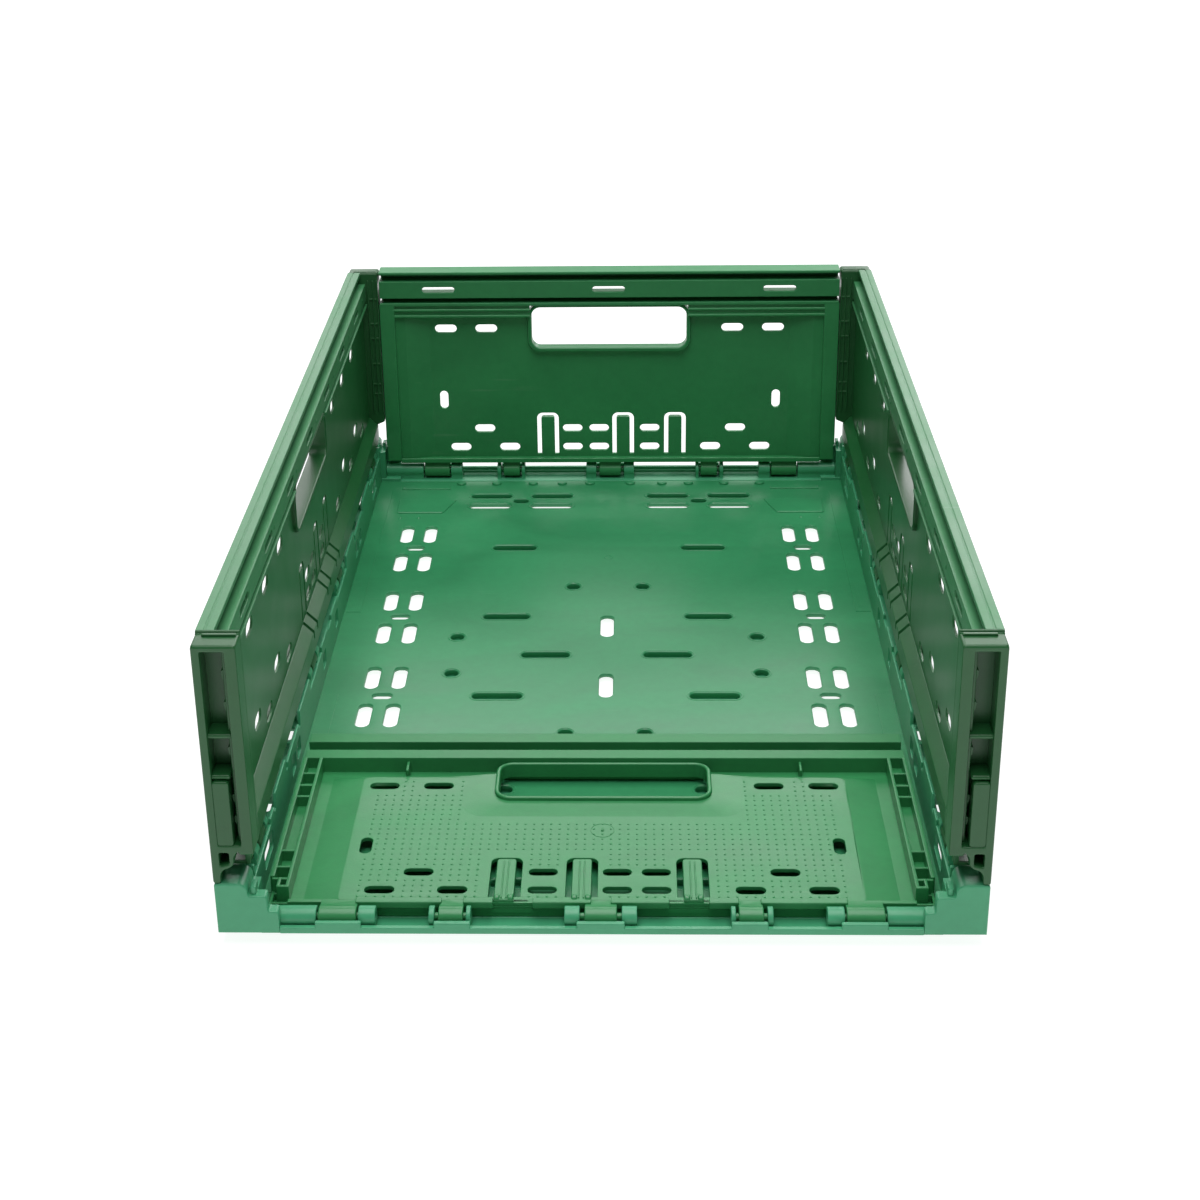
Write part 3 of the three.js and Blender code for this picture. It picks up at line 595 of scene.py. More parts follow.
def end_rail():
    """Far end of the base: trough, lip, tabs and knuckles."""
    low, high = node_box("end_rail_far", BASE)
    inner, outer, half = low.y - OVERLAP, high.y, high.x
    lip, wall = outer - 2.75, outer - 4.2
    shapes = [profile([
        (inner, low.z), (outer - 7, low.z), (outer, EDGE_BOTTOM), (outer, 12), (lip, 12), (lip, 9.5),
        (wall, 9.5), (wall, 8), (outer - 6.5, FLOOR_TOP), (inner, FLOOR_TOP)], 0.5, -half, half)]
    for x0, x1 in both_spans([(125.0, 149.0), (68.0, 87.0)]) + [(-12.5, 12.5)]:
        shapes.append(bar(lip - 0.1, 9, outer, 15, x0, x1, 0.8, bevel=0.8))
    for span in both_spans(END_KNUCKLES):
        centred = knuckle(span, 5.5, 5, FLOOR_TOP - SHORT_AXIS.z - 0.7)
        shapes.append(moved(centred, 0, SHORT_AXIS.y, SHORT_AXIS.z))
    shapes.append(profile([
        (inner, FLOOR_TOP - 1), (inner + 2.7, FLOOR_TOP - 1), (inner + 2.1, FLOOR_TOP + 0.4),
        (inner, FLOOR_TOP + 0.4)], 0.4, -half, half))
    return shapes


def corner_block():
    """Far right corner of the base: an outer skin stepped down towards the middle, with a block
    behind it whose top lets the long wall's post swing over."""
    low, high = node_box("corner_far_right", BASE)
    swing = high.z - LONG_AXIS.z
    edge = LONG_AXIS.x - swing
    shoulder = [(high.x, low.z), (high.x, high.z - 1.6), (high.x - 0.5, high.z - 0.5),
                (high.x - 1.6, high.z)]
    shoulder += arc((LONG_AXIS.x, LONG_AXIS.z), swing, 90, 180, 8)
    shoulder += [(edge, 32.8), (edge - 0.4, 31.9), (edge - 1.3, 31.5)]
    steps = [(low.x, low.z), *shoulder, (174.4, 31.5), (173.4, 31.1), (173, 30.1), (173, 23.4),
             (172.6, 22.4), (171.6, 22), (168.9, 22), (168, 21.6), (low.x, 20.7)]
    rear = [(178.5, low.z), *shoulder, (178.5, 31.5)]
    return [
        prism(steps, high.y - 7, high.y, "y", bevel=0.9),
        prism(rear, low.y, high.y - 1, "y", bevel=0.6),
        block(low.x + 0.6, high.y - 12, low.z + 0.3, high.x - 1.5, high.y - 6, 12),
        block(edge - 4, high.y - 9, 30.5, edge - 1.5, high.y - 2, 36),
    ]


RAIL_TOP = 28.5
RAIL_HOLES = ((127.0, 142.0), (146.0, 161.0), (190.0, 217.0))
RAIL_WINDOWS = ((22.0, 34.0), (129.0, 141.0), (147.0, 160.0), (228.0, 253.0))
RAIL_TABS = ((84.0, 126.0), (176.0, 214.0))


def side_rail():
    """Right side of the base: a channel open downward, with holes in its top, tabs along its inner
    edge and the long wall's knuckles."""
    inner, outer = RAIL_LOW.x, RAIL_HIGH.x
    half = RAIL_HIGH.y + OVERLAP
    top, tab_top = RAIL_TOP, 37.5
    wall_top = top - 0.6
    holes = [rect(inner + 3.2, a, inner + 9.5, b, 1.5, 3) for a, b in both_spans(RAIL_HOLES)]
    windows = [rect(a, 13.5, b, 24.5, 2, 3) for a, b in both_spans(RAIL_WINDOWS)]
    shapes = [
        prism(rect(inner, -half, outer, half), top - SKIN, top, "z", holes=holes, bevel=0.5),
        prism(rect(-half, RAIL_LOW.z, half, wall_top), inner, inner + SKIN, "x", holes=windows,
              bevel=0.4),
        block(outer - SKIN, -half, EDGE_BOTTOM, outer, half, wall_top),
    ]
    for y in (20, 60, 100, 144, 162.5, 180, 257, 268):
        for start, end in both_spans([(y - 0.9, y + 0.9)]):
            shapes.append(block(inner + 1, start, EDGE_BOTTOM + OVERLAP, outer - 1, end, top - 1))
    for start, end in both_spans(RAIL_TABS):
        tab = [(start, top - 2), (end, top - 2), (end - 1.5, tab_top), (start + 1.5, tab_top)]
        shapes.append(prism(rounded(tab, 1), inner, inner + 2, "x", bevel=0.5))
        for y in (start + 7, end - 7):
            brace = [(inner, top - 1), (inner + 6, top - 1), (inner + 1.5, tab_top - 2),
                     (inner, tab_top - 2)]
            shapes.append(prism(rounded(brace, 0.5), y - 0.8, y + 0.8, "y", bevel=0.2))
    for start, end in both_spans([(8.0, 36.0), (130.0, 172.0), (218.0, 230.0)]):
        shapes.append(block(inner, start, top - 1, inner + 1.6, end, top + 3.5))
    for start, end in both_spans([(half - 4, half - 1.5)]):
        shapes.append(block(inner, start, top - 1, inner + 10, end, 37))
    for span in both_spans([(260, 268), (234, 240), (70, 78), (42, 50)]):
        shape = turned(knuckle(span, 5, 4.5, top - LONG_AXIS.z - 0.7), -90)
        shapes.append(moved(shape, LONG_AXIS.x, 0, LONG_AXIS.z))
    return shapes


# ---- short wall ----

MARGIN_OUT, PLATEAU_OUT = -0.75, 3.0  # outer faces of the panel's border and of its raised field
FIELD_HALF, FIELD_TOP = 140.5, 129.0
BORDER_HALF, BORDER_TOP = 159.0, 132.5
SHORT_BAR_BOTTOM = SHORT_RIM_LOW.z
SHORT_OPENING = dict(half=60.0, bottom=104.0, top=137.0)
STRIP_BOTTOM, PANEL_BOTTOM = 7.5, SHORT_PANEL_LOW.z
SHORT_OVALS = (  # x, z, length, whether upright
    (99.0, 35.0, 16.0, False), (79.5, 19.0, 16.0, False), (118.5, 19.0, 16.0, False),
    (130.5, 59.5, 15.0, True), (95.5, 119.0, 17.0, False), (127.0, 119.0, 17.0, False))
OVAL_WIDTH = 6.5
BAND_SLOT = (25, 4.5)  # length and width of the slots along a rim's band
SHORT_COLUMN_ROWS = (35, 19)  # heights of the ovals between the tongues


def arch(x, top, half, radius):
    """Line over the top of an upright strip, from its right side to its left."""
    return (arc((x + half - radius, top - radius), radius, 0, 90, 6)
            + arc((x - half + radius, top - radius), radius, 90, 180, 6))


def tongue_slot(x, bottom, top):
    """The U-shaped cut round a springy tongue."""
    outer, inner = TONGUE_HALF + TONGUE_GAP, TONGUE_HALF
    over_tongue = arch(x, top - TONGUE_GAP, inner, TONGUE_CORNER)
    return [(x + outer, bottom), *arch(x, top, outer, 4.5), (x - outer, bottom),
            (x - inner, bottom), *reversed(over_tongue), (x + inner, bottom)]


def short_ovals():
    ovals = [oval(x, z, 15.5, 6) for x in SLOT_COLUMNS for z in SHORT_COLUMN_ROWS]
    for side in (-1, 1):
        ovals += [oval(side * x, z, length, OVAL_WIDTH, upright)
                  for x, z, length, upright in SHORT_OVALS]
    return ovals


def tongue(x, bottom, top, inner, outer):
    """A springy tongue: proud strip with two fine ribs and two heels."""
    half = TONGUE_HALF
    strip = [(x - half, bottom), (x + half, bottom), *arch(x, top, half, TONGUE_CORNER)]
    shapes = [prism(strip, inner, outer, "y", bevel=0.7)]
    for rib in (x - 1.3, x + 1.3):
        shapes.append(block(rib - 0.4, outer - 1, bottom + 1, rib + 0.4, outer + 0.7, top - 3,
                            bevel=0.3))
    for heel in (x - 3.6, x + 3.6):
        shapes.append(prism(circle(outer - 1.0, bottom + 2.2, 2.4, 16), heel - 1.6, heel + 1.6, "x",
                            bevel=0.8))
    return shapes


def notched(half, top, gap_half, gap_low, radius):
    """Outline of the short panel's middle, with a gap from above for the handle."""
    low = STRIP_BOTTOM
    lip, bend = 3.0, 9.0
    right = (arc((half - radius, low + radius), radius, -90, 0, 6)
             + arc((half - radius, top - radius), radius, 0, 90, 6)
             + arc((gap_half + lip, top - lip), lip, 90, 180, 4)
             + arc((gap_half - bend, gap_low + bend), bend, 0, -90, 8))
    return right + reflected(right)


def cradle(half, low, radius, top):
    """Open line round three sides of the handle: down, across and up."""
    left = [Vector((-half, top))] + arc((radius - half, low + radius), radius, 180, 270, 8)
    return left + reflected(left)


def handle_swell(half, low):
    """Smooth rise of the sheet's outer face up to the handle's frame."""
    rise, foot, top, steps = 1.5, 1.2, FIELD_TOP + 0.5, 6
    wide, close = cradle(84, 85, 14, top), cradle(half, low, 8, top)
    loops = []
    for far, near in zip(wide, close):
        front, back = [], []
        for i in range(steps + 1):
            t = i / steps
            spot = far.lerp(near, t)
            front.append((*spot, PLATEAU_OUT - 0.1 + rise * t * t * (3 - 2 * t)))
            back.append((*spot, PLATEAU_OUT - foot))
        loops.append(front + back[::-1])
    return swept(loops, "y")


def short_panel():
    """Sheet with a border, a field raised outward, and a smooth swelling round the handle."""
    hand_half, hand_low = SHORT_OPENING["half"] + 2, SHORT_OPENING["bottom"] - 2
    back, front = MARGIN_OUT - SKIN, MARGIN_OUT
    field_back, field_front = PLATEAU_OUT - SKIN, PLATEAU_OUT
    lap, top = 1.2, SHORT_BAR_BOTTOM + 0.8
    margins = []
    for x0, x1 in both_spans([(BORDER_HALF, SHORT_EDGE + OVERLAP)]):
        margins.append(rect(x0 - lap, PANEL_BOTTOM - 2.5, x1 + lap, top))
    for x0, x1 in both_spans([(hand_half, BORDER_HALF)]):
        margins.append(rect(x0, BORDER_TOP - lap, x1, top))
    sheets = [prism(margin, back, front, "y", bevel=0.2) for margin in margins]
    field = notched(FIELD_HALF, FIELD_TOP, hand_half + 1.4, hand_low - 1.4, 6)
    apron = notched(BORDER_HALF, BORDER_TOP, hand_half - 0.1, hand_low + 0.1, 1.5)
    apron_edge, field_edge = inset(apron, 0.8), inset(field, 1.5)
    sheets.append(sleeve([
        (apron, back), (apron_edge, back), (field, field_back), (field_edge, field_back),
        (field_edge, field_front), (field, field_front), (apron_edge, front), (apron, front)], "y"))
    holes = [tongue_slot(x, 13, 48) for x in TONGUES] + short_ovals()
    sheets.append(prism(inset(field, 1.0), field_back, field_front, "y", holes=holes, bevel=0.4))
    sheets.append(handle_swell(hand_half, hand_low))
    for x in TONGUES:
        sheets += tongue(x, 8, 44.75, field_back, field_front + 1.8)
    return sheets


def wall_dots():
    """Grid of tiny raised dots over the outer face, away from slots, tongues and the handle, and
    the ring that the plastic's gate left."""
    pitch, columns, rows = 4.8, 27, 24
    field_top, top_under_handle = 124, 82
    keep_out = [(x, 28, 11.5, 24) for x in TONGUES]
    keep_out += [(x, 27, 10.5, 14) for x in SLOT_COLUMNS]
    for x, z, length, upright in SHORT_OVALS:
        along, across = length / 2 + 2.5, OVAL_WIDTH / 2 + 2.25
        width, height = (across, along) if upright else (along, across)
        keep_out += [(side * x, z, width, height) for side in (-1, 1)]
    dots = []
    for x in (i * pitch for i in range(-columns, columns + 1)):
        top = field_top if abs(x) > 78 else top_under_handle
        for z in (13 + k * pitch for k in range(rows)):
            if z > top or any(abs(x - cx) < w and abs(z - cz) < h for cx, cz, w, h in keep_out):
                continue
            dots.append(dome(x, z, PLATEAU_OUT, 0.75, 0.36, "y", sides=6, sink=0.15))
    low, high, gate = PLATEAU_OUT - 0.2, PLATEAU_OUT + 0.2, 74
    dots.append(sleeve([(circle(0, gate, 6.2, 28), low), (circle(0, gate, 6.7, 28), low),
                        (circle(0, gate, 6.5, 28), high)], "y"))
    dots.append(dome(0, gate, PLATEAU_OUT, 1.0, 0.7, "y"))
    return dots


def loose_mesh(shapes):
    """Separate solids as one shape."""
    points, faces = [], []
    for some_points, some_faces in shapes:
        start = len(points)
        points += some_points
        faces += [tuple(i + start for i in f) for f in some_faces]
    return points, faces


def collar(opening, inner, outer):
    """Rounded frame round a handle's opening, with soft lips."""
    half, bottom, top = opening["half"], opening["bottom"], opening["top"]
    radius = 7
    outline = rect(-half - SKIN, bottom - SKIN, half + SKIN, top + SKIN, radius + SKIN, 8)
    hole = rect(-half, bottom, half, top, radius, 8)
    return [prism(outline, inner, outer, "y", holes=[hole], bevel=1.0)]


def short_rim():
    """Zigzag sheet along the top, with bars outside and a slotted band inside."""
    half, inn, out = SHORT_HALF, SHORT_IN, SHORT_OUT
    bar_in = out - SKIN
    top, low = SHORT_TOP, SHORT_BAR_BOTTOM
    band_low, band_high = 146.0, 159.5
    shapes = [
        profile([(inn, top - SKIN), (bar_in, top - SKIN), (bar_in, band_high - SKIN),
                 (out, band_high - SKIN), (out, top), (inn, top)], 0.9, -half, half),
        bar(inn, band_high - SKIN, out, band_high, -half, half, 0.4),
        bar(inn, band_low, out, band_low + SKIN, -half, half, 0.4),
        bar(bar_in, low, out, band_low + SKIN, -half, half, 0.9),
        bar(inn, low, out, low + SKIN, -half, half),
    ]
    slots = [oval(x, (band_low + band_high) / 2, *BAND_SLOT) for x in (-131, 0, 131)]
    shapes.append(prism(rect(-half, band_low, half, band_high), inn, inn + SKIN, "y", holes=slots))
    shapes += [block(x - 0.8, MARGIN_OUT - 0.5, 130, x + 0.8, 6.5, low + 1) for x in (-115, 115)]
    return shapes


def short_ridge():
    """Ridge on the inside along the foot of the rim, to the right of the handle."""
    start, end = SHORT_OPENING["half"] + 1, SHORT_EDGE + OVERLAP
    low = SHORT_BAR_BOTTOM
    return [
        block(start, SHORT_IN, low - 9.5, end, MARGIN_OUT - 1, low - 7.3, bevel=0.6),
        block(start, SHORT_IN + 1.6, low - 9, end, SHORT_IN + 3.4, low + 1.5),
        block(start, SHORT_IN, low - 4.4, end, MARGIN_OUT - 1, low - 2.4, bevel=0.6),
    ]


def short_side():
    """Ladder up the right edge, open outward, with the latch that grips the long wall's post."""
    inner, outer = SHORT_EDGE, SHORT_HALF
    inn, out = SHORT_IN, SHORT_OUT
    low, high = 20.5, SHORT_BAR_BOTTOM + 1
    back = inn + SKIN
    web = 2.0  # outer face of the sheet across the cells
    heel, shallow = 10.0, 0.5  # the lowest cells pass behind the corner block's skin
    foot, stile, thick = 13.0, inner + 6.5, 1.8
    shapes = [
        block(inner - 0.3, inn, heel, outer, back, low + 1),
        block(outer - 1.6, inn, heel, outer, shallow, low + 1),
        block(inner, inn, heel, outer, shallow, heel + 1.6),
        block(inner, inn, 18.2, outer, shallow, 19.8),
        block(inner, web - SKIN, low, outer - 1, web, high),
        block(inner - 0.3, inn, low, outer, back, high),
        block(inner - 0.3, inn, foot, inner + 1.7, out, high),
        block(outer - 1.8, inn, low + 2, outer + 0.6, out, high),
        block(inner, inn, foot, stile, out, foot + 2),
        block(inner, inn, foot, stile, back, low + 1),
        block(stile - thick, inn, foot, stile, out, low + 1),
    ]
    shapes += [block(inner, inn + 1, z, outer - 0.5, out - 0.6, z + thick)
               for z in (20.5, 31.2, 46.2, 99.2, 110.7, 123.2)]
    for z in (60.0, 84.0):
        hook = rounded([(inner + 2, z), (outer, z), (outer, z + 9), (outer - 3, z + 11),
                        (inner + 2, z + 11)], 1)
        shapes.append(prism(hook, inn, inn + 5, "y"))
    return shapes


def barrel(span, radius, arm_top, arm_in, arm_out):
    """A wall's round barrel on its pins, with an arm flush with the panel."""
    outline = [(arm_in, arm_top), *arc((0, 0), radius, 130, 400, 20), (arm_out, arm_top)]
    pin = prism(circle(0, 0, PIN_RADIUS, 14), span[0] - 3, span[1] + 3, "x", bevel=0.4)
    return [prism(outline, *span, "x", bevel=0.7), pin]


def short_hinge():
    """Inner ledge, low outer strips and barrels along the bottom."""
    edge = SHORT_EDGE
    shapes = [bar(SHORT_IN, 8, PLATEAU_OUT, 10.7, -edge, edge),
              block(-edge, SHORT_IN, 8, edge, SHORT_IN + 1.6, 11.6)]
    for x0, x1 in both_spans([(84.0, 129.5), (57.0, 72.5), (5.2, 36.0)]):
        shapes.append(bar(0.5, STRIP_BOTTOM - 2, 4.9, 10.0, x0, x1, 0.8, bevel=0.8))
    for x0, x1 in both_spans([(148.5, edge)]):
        shapes.append(block(x0, MARGIN_OUT - 1, 8, x1, 1.2, 10.5))
    for span in both_spans([(128.0, 148.0), (72.0, 85.0)]) + [(-8.5, 8.5)]:
        shapes += barrel(span, 5.5, 10, -2.0, PLATEAU_OUT)
    return shapes


def wall_maker(name, place):
    """A function that makes the named wall's pieces, which ride on its body."""
    def made(label, shapes, slot, nodes=(), finish=None):
        piece(f"{name}_{label}", shapes, f"{name}_wall", slot, place,
              [f"{name}_{node_name}" for node_name in nodes], finish)
    return made


def short_wall(name, place):
    made = wall_maker(name, place)
    made("panel_sheet", short_panel(), "panel_green", ["panel", "shoulder_right", "shoulder_left"])
    made("panel_dots", [loose_mesh(wall_dots())], "panel_green")
    made("handle_collar", collar(SHORT_OPENING, -3.25, 6.5), "panel_green", ["handle_frame"])
    made("rim_bars", short_rim(), "rim_green", ["rim"], "short_rim")
    made("ridge_right", short_ridge(), "panel_green")
    made("ridge_left", mirrored(short_ridge()), "panel_green")
    made("ladder_right", short_side(), "panel_green", ["side_right"])
    made("ladder_left", mirrored(short_side()), "panel_green", ["side_left"])
    made("hinge_barrels", short_hinge(), "panel_green", ["hinge_strip"])


# ---- long wall ----

PANEL_IN, PANEL_OUT = 1.5, 4.0
LEDGE_IN, LEDGE_LOW, LEDGE_HIGH = -5.0, 20.0, 26.5
LONG_STRIP_BOTTOM = 7.5
LONG_OPENING = dict(half=62.0, bottom=92.5, top=121.0)
LONG_BAND_IN = LONG_RIM_LOW.y
LONG_BAR_BOTTOM = LONG_RIM_LOW.z


def long_panel():
    """Upper sheet with slots, sloped ledge and the lower sheet that stands further in."""
    half = LONG_HALF + OVERLAP
    slots = [oval(x, z, 16.5, 7.2) for x in SLOT_COLUMNS for z in (34.5, 48)]
    for side in (-1, 1):
        slots += [oval(side * x, z, 18, 7.8)
                  for z, row in ((48, (144, 208)), (34, (107, 176, 240)), (107, (110, 160, 210)))
                  for x in row]
    hand = LONG_OPENING
    opening = rect(-hand["half"] - 1, hand["bottom"] - 1, hand["half"] + 1, hand["top"] + 1, 8)
    cuts = [tongue_slot(x, LEDGE_HIGH + 1, 64) for x in TONGUES]
    shapes = [prism(rect(-half, LEDGE_HIGH - 0.6, half, LONG_BAR_BOTTOM + 0.8),
                    PANEL_IN, PANEL_IN + 1.4, "y", holes=[opening, *slots, *cuts], bevel=0.3)]
    low, back = LONG_STRIP_BOTTOM, LEDGE_IN + SKIN
    ledge = [(LEDGE_IN, low), (LEDGE_IN, LEDGE_LOW), (PANEL_IN, LEDGE_HIGH), (PANEL_OUT, LEDGE_HIGH),
             (PANEL_OUT, LEDGE_HIGH - 1), (back, LEDGE_LOW - 1), (back, low)]
    outer = TONGUE_HALF + TONGUE_GAP
    cut_ends = [x + dx for x in TONGUES for dx in (-outer, -TONGUE_HALF, TONGUE_HALF, outer)]
    ends = [-half, *cut_ends, half]
    for x0, x1 in zip(ends[::2], ends[1::2]):
        shapes.append(profile(ledge, 0.5, x0, x1, bevel=0.2))
    shapes.append(bar(LEDGE_IN, low, back, LEDGE_LOW - 5, -LONG_HALF, LONG_HALF, 0.4))
    for x in TONGUES:
        shapes += tongue(x, LEDGE_HIGH - 3, 60.5, PANEL_IN, PANEL_OUT + 1.8)
    return shapes


def long_outside():
    """Low ribs that stiffen the outer face between the rim and the hinge."""
    face, proud, top = PANEL_IN + 0.9, PANEL_OUT + 0.5, LONG_BAR_BOTTOM + 1
    shapes = [block(-LONG_HALF, face, 78, LONG_HALF, proud, 79.8)]
    return shapes + [block(x - 0.9, face, LEDGE_HIGH, x + 0.9, proud, top)
                     for x in (-262, -192, -127, -86, 86, 127, 192, 262)]


def long_rim():
    """Narrow top with a fine line along it, outer bar, and a slotted band inside."""
    half, inn, out, top = LONG_HALF + OVERLAP, LONG_BAND_IN, LONG_OUT, LONG_TOP
    face = 2.5
    band_low, band_high, middle = 123.5, 137.0, 130.0
    lip_in, lip_low, lip_high = inn - 0.8, 119, 121
    line = [(8.0, top), (7.8, top - 0.45), (7.0, top - 0.45), (6.8, top)]
    shapes = [
        profile([(face, top - 3), (out - SKIN, top - 3), (out - SKIN, 125), (out, 125), (out, top),
                 *line, (face, top)], 0.5, -half, half),
        bar(inn, band_high - 2.5, out - 1, band_high, -half, half),
        bar(inn, band_low, out - 1, band_low + 2.3, -half, half),
    ]
    for x0, x1 in both_spans([(LONG_OPENING["half"] + 1, half)]):
        shapes.append(bar(lip_in, lip_low, face, lip_high, x0, x1))
    slots = [oval(x, middle, *BAND_SLOT) for x in range(-228, 229, 76)]
    shapes.append(prism(rect(-half, band_low, half, band_high), inn, inn + SKIN, "y", holes=slots))
    for i, x in enumerate(range(-260, 261, 40)):
        shapes.append(block(x - 0.8, inn + 1, 124, x + 0.8, out - 1, 136))
        shapes.append(block(x - 0.8, face + 3, 136, x + 0.8, out - 1, top - 1))
        if i % 2:
            shapes.append(dome(x + 6, middle, inn, 1.6, -0.5, "y"))
    return shapes


def long_post():
    """Post at the wall's right end: a frame round a tall recess with ribs and a blank raised plate
    in it, under a cap with a ridge across."""
    low, high = node_box("right_post_near", RIGHT)
    back, end = LONG_HALF, high.x
    inn, out, top = low.y, high.y, high.z
    leg = 23.0
    recess_in, recess_out = -4.3, 7.7
    outline = rounded([
        (inn, leg), (-2.9, leg), (-2.4, 25), (0.2, 21.5), (0.4, 17), (2.2, 15), (6.0, 13.5),
        (recess_out, 11), (8, 5.5), (out, 5.5), (out, top - 2), (inn, top - 2)], 1.2)
    recess = rounded(rect(recess_in, 28.5, recess_out, top - 4.6), 1.0)
    foot_recess = rounded([(2.6, 17.5), (recess_out, 16), (recess_out, 24), (2.6, 24)], 1.0)
    shapes = [
        prism(outline, back + 1.5, end, "x", holes=[recess, foot_recess], bevel=0.9),
        profile([(inn, leg), (out, leg - 10), (out, top - 1), (inn, top - 1)], 1, back - 0.3,
                back + 2.2),
        bar(inn, top - 5.2, out, top - 1.2, back + 1, end, 1.8, bevel=1.7),
        block(back, inn, top - 2.4, back + 1.8, out, top, bevel=0.7),
        bar(inn + 1.2, top - 2, out - 4, top, back + 3.4, back + 5.4, 0.6, bevel=0.6),
        block(back + 2, recess_in - 0.5, 27, end - 5, recess_in + 2.2, top - 5, bevel=0.6),
        prism(rect(-0.6, 28, recess_out + 0.3, 66.5, 1.6), back + 4, end - 0.3, "x", bevel=0.9),
    ]
    for z, rib_in in ((91.0, recess_in - 0.3), (67.2, -1.8)):
        shapes.append(block(back + 1, rib_in, z, end - 1.6, recess_out + 0.6, z + 2.6, bevel=1.1))
    shapes += [block(back - 1.4, y, leg + 8, back + 1, y + 1.2, top - 6, bevel=0.4)
               for y in (inn, inn + 3.2, inn + 7.0)]
    shapes += [block(back - 1.2, inn, z, back + 1, inn + 7.6, z + 1.6, bevel=0.4)
               for z in (46.0, 54.0, 71.0, 92.0, 104.0, 124.0)]
    for z in (122.0, 104.0, 78.0, 50.0, 37.0):
        hook = [(recess_in + 1, z), (-1.2, z + 1), (-0.6, z + 5), (recess_in + 1, z + 7)]
        shapes.append(profile(hook, 0.6, back + 3, end - 6.5))
    return shapes


def long_hinge():
    """Outer skirt with ribs and the barrels."""
    half, low, inner, skirt = LONG_HALF + OVERLAP, LONG_STRIP_BOTTOM, LEDGE_IN + SKIN, 12
    shapes = [profile([
        (inner - 1, low), (LONG_OUT, low), (LONG_OUT, skirt), (9.5, skirt), (9.5, low + SKIN),
        (inner - 1, low + SKIN)], 0.6, -half, half)]
    for x in range(-266, 267, 38):
        brace = [(inner, low + 1), (10.5, low + 1), (10.5, skirt - 0.5), (PANEL_OUT, 17),
                 (inner + 1, 18)]
        shapes.append(profile(brace, 0.5, x - 0.9, x + 0.9, bevel=0.3))
    for span in both_spans([(242, 258), (52, 68)]):
        shapes += barrel(span, 5.0, low + SKIN, -2.5, 2.5)
    return shapes


def long_wall(name, low_end, high_end, place):
    """Wall whose own X runs from its post at the low end to that at the high end."""
    made = wall_maker(name, place)
    # painted shade: the sheet's finish is the wall plastic darkened
    made("panel_sheet", long_panel(), "panel_green",
         ["panel", f"shoulder_{high_end}", f"shoulder_{low_end}"], "long_sheet")
    # painted shade: the ribs, collar, posts and barrels take the wall plastic much darkened
    made("outer_ribs", long_outside(), "rib_green")
    made("handle_collar", collar(LONG_OPENING, LONG_BAND_IN, LONG_OUT - 1), "rib_green",
         ["handle_frame"])
    made("rim_bars", long_rim(), "rim_green", ["rim"])
    made(f"post_frame_{high_end}", long_post(), "rib_green", [f"post_{high_end}"])
    made(f"post_frame_{low_end}", mirrored(long_post()), "rib_green", [f"post_{low_end}"])
    made("hinge_barrels", long_hinge(), "rib_green", ["hinge_strip"])


# ---- the crate ----

TURNED = Matrix.Rotation(math.pi, 4, "Z")


def base_piece(label, shapes, nodes, place=BASE, slot="base_green"):
    piece(label, shapes, "base", slot, place, nodes)


base_piece("floor_plate", floor_plate(), ["floor"], slot="floor_green")
base_piece("underside_ribs", underside(), ["foot_right", "foot_left", "foot_far", "foot_near"])
base_piece("end_trough_far", end_rail(), ["end_rail_far"])
base_piece("end_trough_near", end_rail(), ["end_rail_near"], TURNED)
base_piece("corner_step_far_right", corner_block(), ["corner_far_right"])
base_piece("corner_step_far_left", mirrored(corner_block()), ["corner_far_left"])
base_piece("corner_step_near_left", corner_block(), ["corner_near_left"], TURNED)
base_piece("corner_step_near_right", mirrored(corner_block()), ["corner_near_right"], TURNED)
base_piece("side_channel_right", side_rail(), ["side_rail_right"])
base_piece("side_channel_left", side_rail(), ["side_rail_left"], TURNED)
short_wall("far", FAR)
short_wall("near", NEAR)
long_wall("left", "near", "far", LEFT)
long_wall("right", "far", "near", RIGHT)


# ---- studio ----

def studio_floor():
    """White light table that the crate stands on."""
    mesh = bpy.data.meshes.new("studio_floor")
    size = 8.0
    mesh.from_pydata([(-size, -size, 0), (size, -size, 0), (size, size, 0), (-size, size, 0)], [],
                     [(0, 1, 2, 3)])
    made = bpy.data.objects.new("studio_floor", mesh)
    bpy.context.scene.collection.objects.link(made)
    material = bpy.data.materials.new("pale floor")
    material.use_nodes = True
    look = {"Base Color": (0.3, 0.3, 0.3, 1), "Roughness": 0.9, "Specular IOR Level": 0.0,
            "Emission Color": (1, 1, 1, 1), "Emission Strength": 0.9}
    for name, value in look.items():
        material.node_tree.nodes["Principled BSDF"].inputs[name].default_value = value
    mesh.materials.append(material)


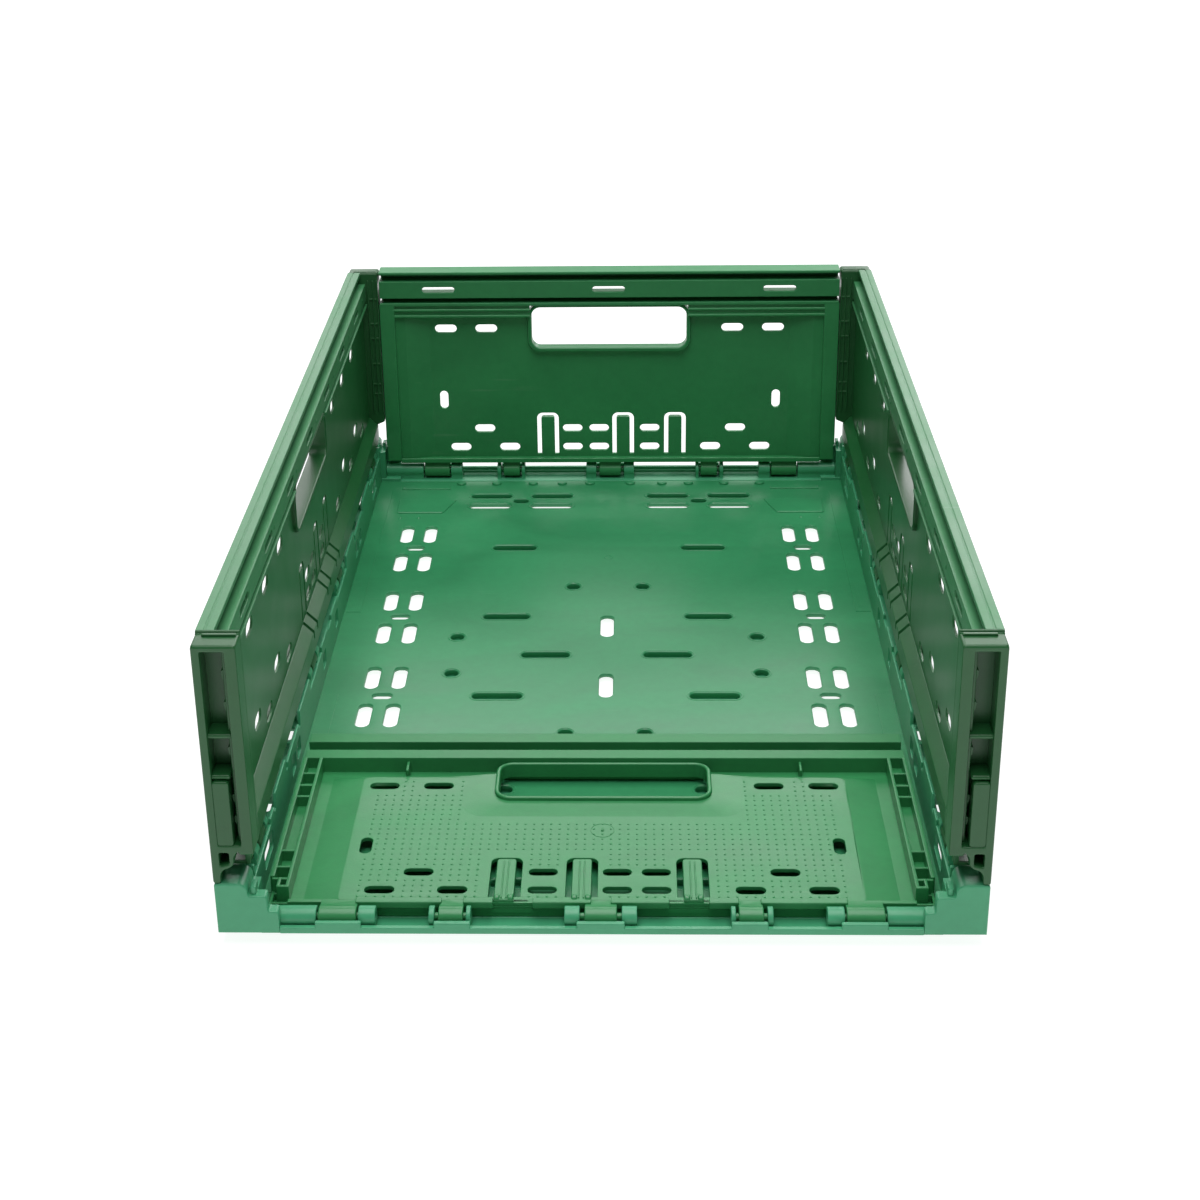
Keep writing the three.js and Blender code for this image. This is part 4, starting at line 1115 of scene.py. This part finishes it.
def area_light(name, place, target, size, power):
    """Oblong lamp at a place, turned towards a target."""
    light = bpy.data.lights.new(name, "AREA")
    light.shape = "RECTANGLE"
    light.size, light.size_y = size
    light.energy = power
    made = bpy.data.objects.new(name, light)
    bpy.context.scene.collection.objects.link(made)
    made.location = place
    made.rotation_mode = "QUATERNION"
    made.rotation_quaternion = (Vector(target) - Vector(place)).to_track_quat("-Z", "Y")


def camera():
    """View over the folded wall: from in front, a little above, with the frame shifted down."""
    place = (0.01696, -1.13747, 0.64168)
    yaw, pitch, roll = -0.0286, 0.3899, -0.0148
    forward = Vector((math.sin(yaw) * math.cos(pitch), math.cos(yaw) * math.cos(pitch),
                      -math.sin(pitch)))
    right = Vector((math.cos(yaw), -math.sin(yaw), 0))
    up = right.cross(forward)
    right, up = (right * math.cos(roll) + up * math.sin(roll),
                 up * math.cos(roll) - right * math.sin(roll))
    data = bpy.data.cameras.new("camera")
    data.lens = 58.57
    data.sensor_width = 36
    data.shift_x, data.shift_y = 0.0170, -0.1494
    made = bpy.data.objects.new("camera", data)
    bpy.context.scene.collection.objects.link(made)
    turn = Matrix((right, up, -forward)).transposed().to_4x4()
    made.matrix_world = Matrix.Translation(place) @ turn
    bpy.context.scene.camera = made


def world_light(strength):
    """Even white light from all round."""
    world = bpy.data.worlds.new("studio")
    world.use_nodes = True
    background = world.node_tree.nodes["Background"]
    background.inputs["Color"].default_value = (1.0, 1.0, 1.0, 1)
    background.inputs["Strength"].default_value = strength
    bpy.context.scene.world = world


studio_floor()
world_light(0.13)
area_light("overhead", place=(0, -0.2, 2.2), target=(0, 0, 0), size=(1.3, 2.4), power=48)
area_light("back_right", place=(1.15, 2.6, 1.4), target=(0, 0, 0.2), size=(1.4, 1.7), power=26)
area_light("back_high", place=(0, 2.6, 1.85), target=(0, 0, 0.1), size=(1.4, 1.15), power=14)
area_light("back_left", place=(-1.15, 2.6, 1.4), target=(0, 0, 0.2), size=(1.4, 1.7), power=17)
camera()
bpy.context.scene.view_settings.view_transform = "Standard"
